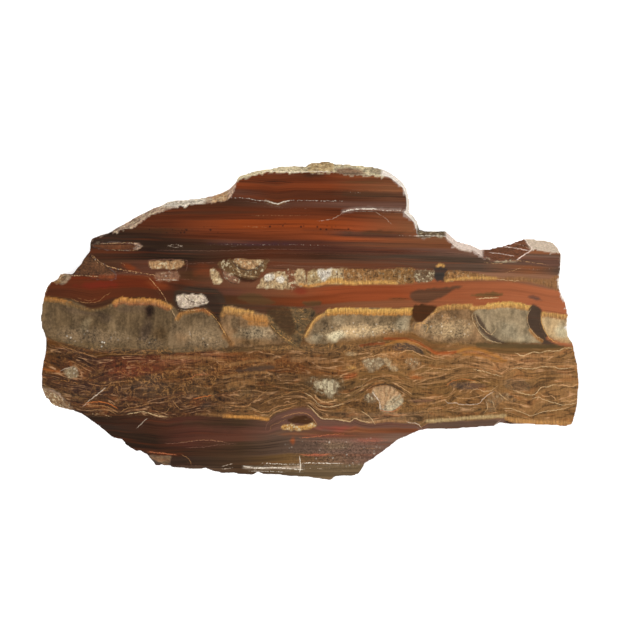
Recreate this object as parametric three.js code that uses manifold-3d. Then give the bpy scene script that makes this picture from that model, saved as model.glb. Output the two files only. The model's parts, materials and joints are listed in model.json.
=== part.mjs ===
// A sawn slab of tiger eye jasper, lying on its back. Millimetres, +Z up, the show face on top.
// The saw left two flat, parallel faces. Between them runs the broken rim of the stone: a weathered skin
// that slopes outwards along the top and right, and fresh breaks that are near upright elsewhere.

import * as THREE from "three";
import { mergeVertices } from "three/addons/utils/BufferGeometryUtils.js";
import Module from "manifold-3d";

// Driving dimensions
const SLAB_LENGTH = 220;
const SLAB_THICKNESS = 7;
const STATION_SPACING = 2.1;
const EDGE_ROUGHNESS = 0.3;
const RIM_ROUGHNESS = 0.55;
const STONE_BROWN = 0x7a4426;
const POLISH_ROUGHNESS = 0.35;

// The rim's levels: how far down the slab each one lies, as a share of its thickness. The first step is the
// small chamfer that the saw and the polish leave on the show face's edge.
const RIM_LEVELS = [0, 0.05, 0.2, 0.38, 0.56, 0.74, 0.9, 1];

// The photograph's pixels at the stone's left, right, top and bottom ends
const PHOTO_LEFT = 40.5;
const PHOTO_RIGHT = 579;
const PHOTO_TOP = 161;
const PHOTO_BOTTOM = 480.4;
const MM_PER_PIXEL = SLAB_LENGTH / (PHOTO_RIGHT - PHOTO_LEFT);

// The stone's edge, clockwise as it is seen from above, in pixels of the photograph. The first two numbers
// are a corner of the show face, and the last two say how far the foot of the rim stands from that corner.
const LEFT_END = [
  [41.6, 388.0, -0.4, 0.8],
  [41.2, 374.0, 1.5, 0],
  [43.0, 362.7, 1.5, 0],
  [44.9, 355.6, 1.0, 0],
  [46.0, 345.0, 1.0, 0],
  [46.2, 338.4, 1.0, 0],
  [41.4, 327.0, 2.0, 0],
  [40.5, 319.3, 2.5, 0],
  [42.0, 306.0, 2.0, 0],
  [44.2, 294.5, 1.5, 0],
  [47.6, 286.1, 1.5, 0.5],
  [51.5, 281.6, 0.5, 0.5],
  [59.0, 281.0, -1.5, -3.5],
  [63.0, 276.5, -4.0, -2.6],
  [72.5, 274.0, 0, -0.6],
  [79.5, 264.6, 0, 0],
  [87.2, 253.8, 0, 0],
  [89.7, 251.5, 0, 0],
  [90.1, 242.8, 0.5, 0.5],
  [91.6, 238.4, 0.5, 0.5],
];
const UPPER_LEFT_SLOPE = [
  [100.5, 235.0, 0, 0],
  [110.0, 232.2, 0, -0.6],
  [119.8, 230.0, -0.5, -4.4],
  [131.0, 227.2, -2.5, -6.9],
  [139.4, 221.6, -3.0, -5.6],
  [149.3, 215.2, -2.5, -4.4],
  [160.5, 210.3, -2.0, -4.6],
  [170.3, 207.5, -1.5, -7.0],
  [184.3, 204.7, -1.0, -5.5],
  [198.4, 202.6, -1.0, -4.6],
  [212.4, 200.5, -1.0, -5.1],
  [226.4, 198.4, -4.0, -6.8],
  [233.4, 190.7, -4.0, -2.6],
  [234.6, 184.8, -1.2, -0.6],
];
const CROWN = [
  [237.7, 180.2, -0.8, -1.0],
  [240.0, 178.5, -0.5, -3.0],
  [249.7, 175.7, -0.5, -3.9],
  [258.2, 173.0, -0.3, -3.2],
  [270.3, 171.0, 0, -2.8],
  [280.0, 171.2, 0, -5.4],
  [294.5, 171.6, 0, -6.5],
  [306.0, 172.2, 0, -7.0],
  [312.7, 171.8, 0, -10.6],
  [329.7, 170.8, 0, -9.8],
  [336.9, 172.4, 0, -8.9],
  [349.1, 174.6, 0, -11.0],
  [361.0, 175.0, 0, -10.2],
  [373.3, 174.8, 0, -8.6],
  [384.2, 175.7, 1.0, -6.6],
];
const RIGHT_SHOULDER = [
  [390.3, 177.9, 3.3, -4.0],
  [397.5, 183.3, 4.2, -2.6],
  [403.6, 188.8, 3.8, -0.6],
  [406.6, 198.5, 3.2, 0.5],
  [407.0, 205.0, 2.8, 0.5],
  [406.2, 210.4, 3.4, 1.0],
  [402.8, 211.4, 7.2, 1.2],
  [409.6, 217.9, 4.6, -2.0],
  [414.2, 222.5, 4.2, -0.5],
  [415.8, 228.0, 3.8, -0.6],
  [417.0, 235.0, 2.6, -5.6],
  [424.1, 236.8, 0, -6.8],
  [434.4, 236.2, 0, -5.9],
  [445.0, 236.4, 1.0, -5.9],
];
const UPPER_RIGHT_SLOPE = [
  [448.2, 239.7, 2.2, -5.0],
  [454.0, 246.0, 4.0, -5.4],
  [459.7, 248.9, 4.0, -6.5],
  [468.9, 249.4, 1.5, -4.7],
  [474.6, 250.6, 1.5, -3.8],
  [480.4, 255.2, 1.5, -6.0],
  [488.4, 257.8, 1.0, -9.2],
  [494.1, 260.3, 0, -12.6],
  [503.3, 260.9, 0, -15.5],
  [516.0, 259.8, -1.0, -17.9],
  [520.5, 256.9, -0.5, -17.0],
  [532.0, 248.9, -5.0, -10.9],
  [543.5, 250.0, 0, -10.5],
  [552.7, 251.7, 1.0, -9.8],
  [560.6, 252.9, -2.0, -5.0],
];
const RIGHT_END = [
  [561.3, 255.2, -1.0, 0],
  [560.5, 266.7, -1.0, 0],
  [559.8, 279.3, -1.0, 0],
  [559.6, 288.5, 0, 0],
  [560.7, 294.2, 0.5, 0],
  [564.7, 299.4, 0, 0],
  [566.2, 306.8, -0.5, 0],
  [568.2, 315.0, -1.5, 0],
  [567.0, 326.0, -1.0, 0],
  [567.0, 335.5, 0, 0],
  [572.0, 342.0, -0.5, 0],
  [573.6, 347.0, -1.0, 0],
  [577.2, 364.0, -1.5, 0],
  [579.0, 383.3, -2.0, 0],
  [577.2, 404.0, -1.5, 0],
  [574.0, 418.5, -1.0, 0],
  [572.0, 424.3, -1.0, -0.8],
];
const LOWER_RIGHT_LEDGE = [
  [566.0, 426.0, 0, -1.0],
  [549.7, 425.0, 0, -1.0],
  [525.6, 424.0, 0, -1.0],
  [512.7, 424.0, 0, -1.0],
  [499.7, 422.6, 0, -0.8],
  [494.2, 425.9, 0, -1.0],
  [477.5, 427.2, 0, -1.5],
  [452.6, 429.2, 0, -2.0],
  [440.6, 428.7, 0, -2.0],
  [426.7, 429.0, -0.5, -2.0],
  [412.8, 433.3, -1.0, -2.0],
  [396.2, 440.7, -1.5, -2.0],
  [381.4, 452.7, -1.5, -1.5],
  [373.1, 458.8, -1.5, -1.0],
  [364.7, 463.0, -1.0, -1.0],
  [363.6, 466.0, -1.2, -1.0],
  [359.2, 473.6, -1.5, -1.5],
];
const KEEL = [
  [351.8, 476.2, -1.0, -2.0],
  [335.1, 476.4, -0.5, -2.0],
  [330.0, 480.4, 0, -2.5],
  [319.2, 478.6, 0, -2.0],
  [306.4, 476.8, 0, -2.0],
  [292.0, 476.4, 0, -2.0],
  [279.3, 474.9, 0, -2.0],
  [265.0, 474.6, 0, -2.0],
  [257.8, 472.2, 0, -1.0],
  [252.2, 474.9, 0, -2.0],
  [241.0, 474.6, 0, -2.0],
  [233.9, 472.7, 0, -1.0],
  [223.5, 473.3, 0, -2.0],
  [212.3, 471.0, 0, -1.5],
  [206.0, 468.2, 0, -1.0],
  [194.8, 469.0, 0, -2.0],
  [182.0, 467.7, 0, -1.5],
];
const LOWER_LEFT_SLOPE = [
  [170.8, 466.6, -0.5, -0.4],
  [170.4, 456.4, -3.4, 9.8],
  [160.0, 457.8, -4.8, 8.4],
  [149.0, 455.6, -1.4, 1.2],
  [139.8, 450.4, 0.5, -1.0],
  [136.6, 451.4, 0.5, -1.0],
  [126.2, 445.0, 1.0, -1.5],
  [121.8, 439.2, 1.0, -1.0],
  [112.7, 437.5, 1.0, -1.5],
  [103.9, 430.0, 1.0, -1.5],
  [94.3, 422.7, 1.0, -1.5],
  [82.5, 414.2, 0.8, -1.0],
  [73.6, 410.2, 0, 0.3],
  [64.6, 402.2, -5.2, 5.9],
  [59.5, 394.5, -8.6, 10.7],
  [51.9, 389.4, -7.8, 8.2],
];
const EDGE = [
  ...LEFT_END,
  ...UPPER_LEFT_SLOPE,
  ...CROWN,
  ...RIGHT_SHOULDER,
  ...UPPER_RIGHT_SLOPE,
  ...RIGHT_END,
  ...LOWER_RIGHT_LEDGE,
  ...KEEL,
  ...LOWER_LEFT_SLOPE,
];

// Shallow conchoidal chips and pits in the show face. Middle and half sizes are in the photograph's pixels,
// the turn is in degrees, anticlockwise as seen from above, and the depth is in millimetres.
const SCOOPS = [
  { middle: [116, 246.3], half: [25, 4.2], turn: -1, depth: 0.5 },
  { middle: [82, 265], half: [37, 10], turn: -20, depth: 0.9 },
  { middle: [60, 278], half: [7, 4.5], turn: 20, depth: 0.7 },
  { middle: [284, 466.5], half: [24, 3.6], turn: 1, depth: 0.35 },
];
const SCOOP_DETAIL = 6;

// The broken rim's waves. Their lengths are counted in stations along the edge, and BUMP_SHIFT moves the
// bumps along from one level of the rim to the next. A rim that slopes out by more than OPEN_SLOPE, in
// millimetres, is lumpy both ways, and any other is only eaten away.
const OCTAVES = 3;
const OCTAVE_FADE = 0.55;
const BELLY_STRENGTH = 0.45;
const BELLY_LENGTH = 3;
const BUMP_LENGTH = 1.7;
const BUMP_SHIFT = 40;
const OPEN_SLOPE = 1;
const SEEDS = { face: 1, foot: 2, belly: 3, bump: 4 };
const SEED_STRIDE = 17.3;
const HASH = { step: 127.1, start: 311.7, spread: 43758.5453 };
const MERGE_DISTANCE = 1e-4;

// A repeatable value from -1 to 1 for each whole number
function hash(n) {
  const s = Math.sin(n * HASH.step + HASH.start) * HASH.spread;
  return 2 * (s - Math.floor(s)) - 1;
}

// Smooth noise from -1 to 1 along a line: coarse and fine waves, the fine ones weaker
function ripple(x, seed) {
  let sum = 0;
  let weight = 0;
  for (let octave = 0; octave < OCTAVES; octave += 1) {
    const at = x * 2 ** octave + seed * SEED_STRIDE;
    const cell = Math.floor(at);
    const share = THREE.MathUtils.smoothstep(at - cell, 0, 1);
    const amplitude = OCTAVE_FADE ** octave;
    sum += amplitude * THREE.MathUtils.lerp(hash(cell), hash(cell + 1), share);
    weight += amplitude;
  }
  return sum / weight;
}

// A point of the photograph, in millimetres from the middle of the stone
function fromPhoto(x, y) {
  return new THREE.Vector2(
    (x - (PHOTO_LEFT + PHOTO_RIGHT) / 2) * MM_PER_PIXEL,
    ((PHOTO_TOP + PHOTO_BOTTOM) / 2 - y) * MM_PER_PIXEL,
  );
}

// The corners of EDGE in millimetres, each with its place on the show face and at the rim's foot
function edgeCorners() {
  return EDGE.map(([x, y, footX, footY]) => ({
    face: fromPhoto(x, y),
    foot: fromPhoto(x + footX, y + footY),
  }));
}

// The corners with more stations between them, roughened sideways as a broken edge is
function edgeStations() {
  const corners = edgeCorners();
  const stations = [];
  let along = 0;
  corners.forEach((corner, i) => {
    const next = corners[(i + 1) % corners.length];
    const span = Math.max(
      corner.face.distanceTo(next.face),
      corner.foot.distanceTo(next.foot),
    );
    const steps = Math.max(1, Math.round(span / STATION_SPACING));
    const chord = next.face.clone().sub(corner.face);
    const outward = new THREE.Vector2(-chord.y, chord.x).normalize();
    for (let step = 0; step < steps; step += 1) {
      const share = step / steps;
      const rough = share > 0 ? EDGE_ROUGHNESS : 0;
      const face = corner.face.clone().lerp(next.face, share);
      const foot = corner.foot.clone().lerp(next.foot, share);
      face.addScaledVector(outward, rough * ripple(along, SEEDS.face));
      foot.addScaledVector(outward, rough * ripple(along, SEEDS.foot));
      stations.push({ face, foot, outward, along });
      along += 1;
    }
  });
  return stations;
}

// A point of the rim at one station, drop being 0 at the show face and 1 at the foot
function rimPoint({ face, foot, outward, along }, drop) {
  const belly = Math.exp(BELLY_STRENGTH * ripple(along / BELLY_LENGTH, SEEDS.belly));
  const point = face.clone().lerp(foot, drop ** belly);
  const free = Math.sin(Math.PI * drop);
  const slope = foot.clone().sub(face).dot(outward);
  const bump = ripple(along / BUMP_LENGTH + BUMP_SHIFT * drop, SEEDS.bump);
  // An upright or undercut rim is only eaten away, so that its outline stays that of the face.
  const reach = slope > OPEN_SLOPE ? bump : -Math.abs(bump);
  return point.addScaledVector(outward, RIM_ROUGHNESS * free * reach);
}

// The closed skin of the slab: a ring of vertices at each level of the rim, and a flat cap on both faces
function slabGeometry() {
  const stations = edgeStations();
  const count = stations.length;
  const rings = RIM_LEVELS.map((drop) =>
    stations.map((station) => rimPoint(station, drop)),
  );
  const positions = rings.flatMap((ring, level) =>
    ring.flatMap(({ x, y }) => [
      x,
      y,
      SLAB_THICKNESS * (1 - RIM_LEVELS[level]),
    ]),
  );
  const faces = [];
  for (let level = 0; level + 1 < rings.length; level += 1) {
    for (let i = 0; i < count; i += 1) {
      const j = (i + 1) % count;
      const [upper, lower] = [level * count, (level + 1) * count];
      faces.push([upper + i, upper + j, lower + j]);
      faces.push([upper + i, lower + j, lower + i]);
    }
  }
  const lowest = (rings.length - 1) * count;
  // The caps' triangles run anticlockwise from above, so the lower cap's are turned round.
  const cap = (ring) => THREE.ShapeUtils.triangulateShape([...ring], []);
  cap(rings[0]).forEach((corners) => faces.push(corners));
  cap(rings.at(-1)).forEach(([a, b, c]) =>
    faces.push([lowest + a, lowest + c, lowest + b]),
  );
  const geometry = new THREE.BufferGeometry();
  geometry.setAttribute(
    "position",
    new THREE.Float32BufferAttribute(positions, 3),
  );
  geometry.setIndex(faces.flat());
  return geometry;
}

// One chip's cutting shape: a flattened ball whose middle lies on the show face
function scoopGeometry({ middle, half, turn, depth }) {
  const at = fromPhoto(...middle);
  return new THREE.IcosahedronGeometry(1, SCOOP_DETAIL)
    .scale(half[0] * MM_PER_PIXEL, half[1] * MM_PER_PIXEL, depth)
    .rotateZ(THREE.MathUtils.degToRad(turn))
    .translate(at.x, at.y, SLAB_THICKNESS);
}

const wasm = await Module();
wasm.setup();

// A closed geometry as a solid that can be cut
function toSolid(geometry) {
  const bare = geometry.clone();
  bare.deleteAttribute("normal");
  bare.deleteAttribute("uv");
  const merged = mergeVertices(bare, MERGE_DISTANCE);
  return new wasm.Manifold(
    new wasm.Mesh({
      numProp: 3,
      vertProperties: merged.attributes.position.array,
      triVerts: new Uint32Array(merged.index.array),
    }),
  );
}

// A solid as a geometry again
function toGeometry(solid) {
  const mesh = solid.getMesh();
  const geometry = new THREE.BufferGeometry();
  geometry.setAttribute(
    "position",
    new THREE.BufferAttribute(mesh.vertProperties, 3),
  );
  geometry.setIndex(new THREE.BufferAttribute(mesh.triVerts, 1));
  geometry.computeVertexNormals();
  return geometry;
}

// The slab with its chips cut, its lower face on Z = 0 and the middle of its outline on the Z axis
function slab() {
  const whole = toSolid(slabGeometry());
  const chipped = SCOOPS.reduce(
    (stone, scoop) => stone.subtract(toSolid(scoopGeometry(scoop))),
    whole,
  );
  const geometry = toGeometry(chipped);
  geometry.computeBoundingBox();
  const { min, max } = geometry.boundingBox;
  geometry.translate(-(min.x + max.x) / 2, -(min.y + max.y) / 2, -min.z);
  const polishedJasper = new THREE.MeshStandardMaterial({
    color: STONE_BROWN,
    roughness: POLISH_ROUGHNESS,
    metalness: 0,
  });
  const mesh = new THREE.Mesh(geometry, polishedJasper);
  mesh.name = "slab";
  return mesh;
}

const part = new THREE.Group();
part.add(slab());

export default part;
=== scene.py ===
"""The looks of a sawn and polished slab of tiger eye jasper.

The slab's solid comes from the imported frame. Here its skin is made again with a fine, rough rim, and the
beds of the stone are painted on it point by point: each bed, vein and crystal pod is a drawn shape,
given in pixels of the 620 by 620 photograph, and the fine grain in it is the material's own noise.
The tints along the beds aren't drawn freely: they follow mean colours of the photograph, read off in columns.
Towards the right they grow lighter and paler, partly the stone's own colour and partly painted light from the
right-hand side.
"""

import json
import logging
import math
from dataclasses import dataclass, field, fields
from enum import Enum

import bpy
import numpy as np
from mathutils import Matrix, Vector

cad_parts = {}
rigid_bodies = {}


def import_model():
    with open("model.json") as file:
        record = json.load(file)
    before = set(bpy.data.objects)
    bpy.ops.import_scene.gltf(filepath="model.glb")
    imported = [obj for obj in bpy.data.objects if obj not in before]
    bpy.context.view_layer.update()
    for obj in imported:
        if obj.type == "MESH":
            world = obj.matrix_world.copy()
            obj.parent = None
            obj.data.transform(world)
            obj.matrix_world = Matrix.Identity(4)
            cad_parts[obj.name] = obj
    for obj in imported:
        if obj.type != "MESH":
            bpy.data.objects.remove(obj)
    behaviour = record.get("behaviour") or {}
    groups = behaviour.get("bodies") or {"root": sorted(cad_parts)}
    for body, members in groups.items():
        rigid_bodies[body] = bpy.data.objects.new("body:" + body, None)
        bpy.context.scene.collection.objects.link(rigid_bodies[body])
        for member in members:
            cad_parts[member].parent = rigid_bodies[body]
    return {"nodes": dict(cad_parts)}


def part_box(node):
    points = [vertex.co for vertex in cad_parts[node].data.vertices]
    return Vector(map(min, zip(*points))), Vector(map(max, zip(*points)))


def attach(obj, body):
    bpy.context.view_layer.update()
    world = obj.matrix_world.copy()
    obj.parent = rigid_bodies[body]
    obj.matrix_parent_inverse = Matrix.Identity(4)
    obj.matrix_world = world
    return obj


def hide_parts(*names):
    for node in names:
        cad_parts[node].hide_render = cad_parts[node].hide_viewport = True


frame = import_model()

NODE = "slab"
BODY = "root"
SLOT = "polished_jasper"
PIECE = "jasper_slab"
MM = 0.001
GLEAM = 0.004

log = logging.getLogger("slab")

Array = np.ndarray
Point = tuple[float, float]
Line = tuple[Point, ...]


def linear(srgb: Array) -> Array:
    """Turns screen colours from 0 to 255 into linear light from 0 to 1."""
    share = np.asarray(srgb, float) / 255
    return np.where(share <= 0.04045, share / 12.92, ((share + 0.055) / 1.055) ** 2.4)


class Tint(Enum):
    """The stone's colours, as they look on a screen under white light."""

    INK = (44, 30, 24)
    PITCH = (49, 34, 25)
    COAL = (58, 42, 33)
    GRAPHITE = (66, 58, 52)
    VIOLET = (70, 46, 52)
    SHADOW = (64, 49, 38)
    LIVER = (69, 42, 29)
    COCOA = (78, 49, 30)
    DAMSON = (82, 47, 36)
    MAROON = (88, 46, 28)
    UMBER = (86, 54, 24)
    GARNET = (98, 48, 27)
    OXBLOOD = (106, 44, 23)
    CHERRY = (132, 41, 29)
    BRICK = (114, 55, 30)
    RUSSET = (130, 62, 32)
    EMBER = (145, 66, 29)
    SIENNA = (151, 74, 41)
    TERRACOTTA = (163, 92, 58)
    SALMON = (178, 104, 68)
    CORAL = (156, 78, 62)
    PLUM = (98, 60, 45)
    ROSEWOOD = (108, 68, 48)
    CEDAR = (122, 74, 48)
    CLAY = (138, 86, 56)
    SHELL = (148, 104, 78)
    MAUVE = (112, 78, 64)
    HEATHER = (122, 92, 76)
    SLATE = (84, 66, 53)
    WALNUT = (94, 66, 48)
    LEAD = (98, 76, 62)
    PEAT = (76, 55, 38)
    MOSS = (92, 68, 42)
    OLIVE = (96, 77, 50)
    CHESTNUT = (100, 60, 28)
    NUT = (114, 68, 32)
    BARK = (106, 74, 44)
    HIDE = (114, 84, 50)
    SADDLE = (130, 93, 52)
    OCHRE = (148, 104, 60)
    TAN = (154, 112, 68)
    FAWN = (168, 120, 76)
    DRIFT = (136, 104, 72)
    BISCUIT = (188, 144, 98)
    RUST = (168, 86, 42)
    FLAME = (182, 102, 48)
    HONEY = (180, 120, 58)
    WHEAT = (187, 134, 76)
    AMBER = (206, 142, 70)
    GOLD = (206, 154, 84)
    STRAW = (223, 174, 92)
    SMOKE = (106, 85, 60)
    HAZE = (124, 101, 74)
    MIST = (138, 114, 84)
    VEIL = (150, 128, 96)
    PEARL = (162, 140, 108)
    FROST = (178, 160, 128)
    HAY = (186, 156, 108)
    THREAD = (204, 156, 112)
    CREAM = (196, 164, 120)
    PUTTY = (176, 146, 122)
    BLUSH = (198, 164, 140)
    IVORY = (226, 208, 168)
    SNOW = (240, 228, 208)
    ROSE = (238, 216, 200)
    CHALK = (218, 196, 172)
    WHITE = (250, 238, 224)

    def light(self) -> Array:
        """The tint in linear light, less the little that the polish mirrors."""
        return np.maximum(linear(self.value) - GLEAM, 0.001)


@dataclass(frozen=True)
class Grain:
    """How strongly each fine pattern runs through a kind of rock, and how rough its polish is.

    Args:
        streak: long streaks that lie along the beds.
        lamina: thin pale and dark lines along the beds.
        curl: curled, fibrous threads.
        fibre: short fibres that stand across the beds.
        mottle: cloudy crystal grains.
        crust: coarse lumps with dark gaps.
        grit: fine sandy grains.
        sparkle: painted glints, bright points where light catches crystal faces.
        pepper: small black specks.
        rough: the polish, as a shader roughness.
    """

    streak: float = 0.0
    lamina: float = 0.0
    curl: float = 0.0
    fibre: float = 0.0
    mottle: float = 0.0
    crust: float = 0.0
    grit: float = 0.0
    sparkle: float = 0.0
    pepper: float = 0.0
    rough: float = 0.22


class Rock(Enum):
    """The kinds of rock in the slab."""

    JASPER = Grain(streak=1.0, rough=0.2)
    SATIN = Grain(streak=0.45, rough=0.2)
    GLASSY = Grain(streak=0.4, mottle=0.15, rough=0.16)
    TIGER = Grain(lamina=1.0, curl=0.35, fibre=0.3, streak=0.2, rough=0.26)
    TANGLE = Grain(lamina=0.4, curl=1.0, fibre=0.5, grit=0.6, mottle=0.3, rough=0.3)
    DUSTY = Grain(streak=0.9, grit=1.4, mottle=0.4, sparkle=0.45, rough=0.26)
    THREADS = Grain(lamina=0.3, curl=1.0, fibre=0.3, mottle=0.4, rough=0.3)
    LACE = Grain(crust=0.3, curl=1.0, fibre=0.6, grit=0.6, rough=0.3)
    SMOOTH = Grain(streak=0.7, lamina=0.3, rough=0.22)
    FRINGE = Grain(fibre=0.7, crust=0.08, grit=0.5, rough=0.28)
    QUARTZ = Grain(mottle=1.0, grit=0.35, rough=0.18)
    CLEAR = Grain(mottle=0.8, grit=0.25, rough=0.14)
    GRAINY = Grain(mottle=0.9, grit=1.3, sparkle=0.25, rough=0.3)
    GLITTER = Grain(mottle=0.8, grit=1.5, sparkle=1.0, rough=0.3)
    CRUST = Grain(crust=0.9, grit=0.5, fibre=0.4, rough=0.34)
    SUGAR = Grain(crust=0.7, grit=0.9, fibre=0.3, sparkle=0.4, rough=0.34)
    PEPPERED = Grain(streak=1.0, pepper=1.0, rough=0.22)
    SALTED = Grain(crust=0.7, pepper=1.0, sparkle=0.8, fibre=0.3, rough=0.34)
    BROKEN = Grain(mottle=0.8, streak=0.8, grit=1.0, sparkle=0.4, rough=0.55)
    WEATHERED = Grain(crust=0.75, mottle=0.4, grit=0.9, rough=0.85)
    PALE = Grain(crust=0.1, grit=0.5, rough=0.85)
    SHARDS = Grain(streak=0.8, grit=0.6, rough=0.6)


GRAIN_NAMES = tuple(part.name for part in fields(Grain))


@dataclass(frozen=True)
class Photo:
    """The stone's place in the photograph, which ties its pixels to the slab's own sizes.

    Args:
        left: pixel of the stone's left end.
        right: pixel of its right end.
        top: pixel of its upper edge.
        middle: pixel half way across the picture.
        side: the picture's width and height in pixels.
    """

    left: float = 40.5
    right: float = 579.0
    top: float = 161.0
    middle: float = 310.0
    side: float = 620.0

    def scale(self) -> float:
        """Metres to a pixel, from the slab's real length."""
        low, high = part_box(NODE)
        return (high.x - low.x) / (self.right - self.left)

    def pixels(self, places: Array) -> tuple[Array, Array]:
        """Where points of the slab lie in the photograph.

        Args:
            places: points in metres, one to a row.

        Returns:
            Their pixels across and down.
        """
        low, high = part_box(NODE)
        across = self.left + (places[:, 0] - low.x) / self.scale()
        down = self.top + (high.y - places[:, 1]) / self.scale()
        return across, down

    def place(self, across: float, down: float) -> tuple[float, float]:
        """The slab's x and y, in metres, at a pixel of the photograph."""
        low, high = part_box(NODE)
        return low.x + (across - self.left) * self.scale(), high.y - (down - self.top) * self.scale()


PHOTO = Photo()


class Traced:
    """Something that is drawn along a trace of pixels, written as across,down pairs."""

    trace: str

    @property
    def line(self) -> Line:
        """The trace's pixels."""
        pairs = (pair.split(",") for pair in self.trace.split())
        return tuple((float(across), float(down)) for across, down in pairs)


@dataclass(frozen=True)
class Fold(Traced):
    """One surface between beds, bent as the photograph shows it.

    Args:
        level: its height in the unfolded stack, as a pixel row.
        trace: its pixels, from left to right.
    """

    level: float
    trace: str

    def height(self, across: Array) -> Array:
        """The fold's pixel row above or below each pixel column."""
        columns, rows = zip(*self.line)
        return np.interp(across, columns, rows)


FOLDS = (
    Fold(200, "40,198 231,198 255,200 277,203 295,200.5 345,201 420,203"),
    Fold(214, "40,219 150,217 190,215 230,214 310,214 350,215 390,217 420,219"),
    Fold(226, "40,224 150,226 230,226 310,226.5 350,228 390,230 450,232"),
    Fold(240, "40,236 110,235 150,236 190,238 230,240 320,240 350,241.5 450,243"),
    Fold(247, "40,245 150,245 250,247 350,249 450,251 580,253"),
    Fold(255, "40,254 150,255 200,257 270,254 350,254 430,256 500,259 580,261"),
    Fold(262, "40,261 150,260 210,262 270,259 350,260 430,263 500,264 580,268"),
    Fold(270, "40,272 110,270 200,270 265,268 300,270 390,268 470,271 580,275"),
    Fold(286, "40,282 60,279 90,277 130,277 170,281 200,286 250,288 300,287 350,284 400,285 450,281 "
        "510,280 550,288 580,291"),
    Fold(300, "40,293 70,295 92,301 112,297 140,294 180,300 230,301 300,305 350,300 420,298 480,296 "
        "540,301 580,308"),
    Fold(346, "40,334 57,342 80,348.5 110,350 225,348 260,345 300,345 345,342 384,335.5 411,332.5 430,338 "
        "470,343 500,345 548,347 580,345"),
    Fold(353, "40,340 58,346 80,353 97,358 110,355.5 143,355.5 226,352 290,350 330,350 360,346 377,342.5 "
        "393,338.5 407,338 418,342 426,347 433,352.5 466,350 489,353 512,354 540,352 580,348"),
    Fold(362, "40,352 60,358 90,366 120,363 160,361 190,362 240,360 290,359 330,360 362,357 387,352 "
        "407,350 422,355 436,360 470,357 497,361 520,361 580,359"),
    Fold(374, "40,372 60,378 92,384 117,380 143,375 205,376 264,371 300,374 330,377 361,372 385,371 "
        "397,373 412,377 425,371 448,369 471,368 486,372 501,376 516,368 550,367 580,367.5"),
    Fold(394, "40,383 62,390 90,394 120,393 150,391 190,391 230,392 268,390 302,390 312,395 321,401 "
        "330,402 345,400 353,396 363,390.7 374,386 385,383.8 394,386 403,391 412,396 430,397 447,393 "
        "456,386 470,383 490,385 505,391 524,394 532,395 541,388 552,386 580,384"),
    Fold(406, "40,392 64,399 86,402 97,401.5 107,403 118,409 127,408 141,406 155,404 178,407 200,404 "
        "230,405.5 249,406 261,411.5 269,411.5 277,406.5 297,403 309,404 319,410 325,411 345,410 372,411 "
        "400,413 430,409 460,407 480,406 504,408.5 524,413 532,415.5 543,411.7 567,408 580,406"),
    Fold(418, "40,404 70,411 90,414 120,415 150,413.6 167,417 200,413.6 224,415.6 255,417 268,419 "
        "277,411.5 295,406.5 303,406 309,407 316,413 322,419 333,419.4 350,421.7 355,418.5 361,421 "
        "371,422.5 385,421.5 407,422 417,423.3 421,427 428,422 456,420.5 480,419 505,417.3 508,420 "
        "532,423.5 580,425"),
    Fold(440, "40,436 110,436 158,442 195,440 230,441 262,440 290,436 330,437 580,437"),
)
TOP_LEVEL = 150.0
BOTTOM_LEVEL = 500.0


@dataclass(frozen=True)
class Bed:
    """One bed of the unfolded stack.

    Args:
        top: the level at which it begins, as a pixel row.
        tints: its colours from left to right, each as a pixel column and a tint's name; the paler tints
            towards the right are partly painted light from that side.
        rock: the kind of rock.
        blur: how softly it passes into the bed above, in pixels.
    """

    top: float
    tints: str
    rock: Rock = Rock.JASPER
    blur: float = 1.6

    def colour(self, across: Array) -> Array:
        """The bed's colour at each pixel column, in linear light."""
        pairs = [pair.split() for pair in self.tints.split(", ")]
        columns = [float(column) for column, _ in pairs]
        lights = np.array([Tint[name].light() for _, name in pairs])
        return np.stack([np.interp(across, columns, lights[:, i]) for i in range(3)], axis=1)
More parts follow.
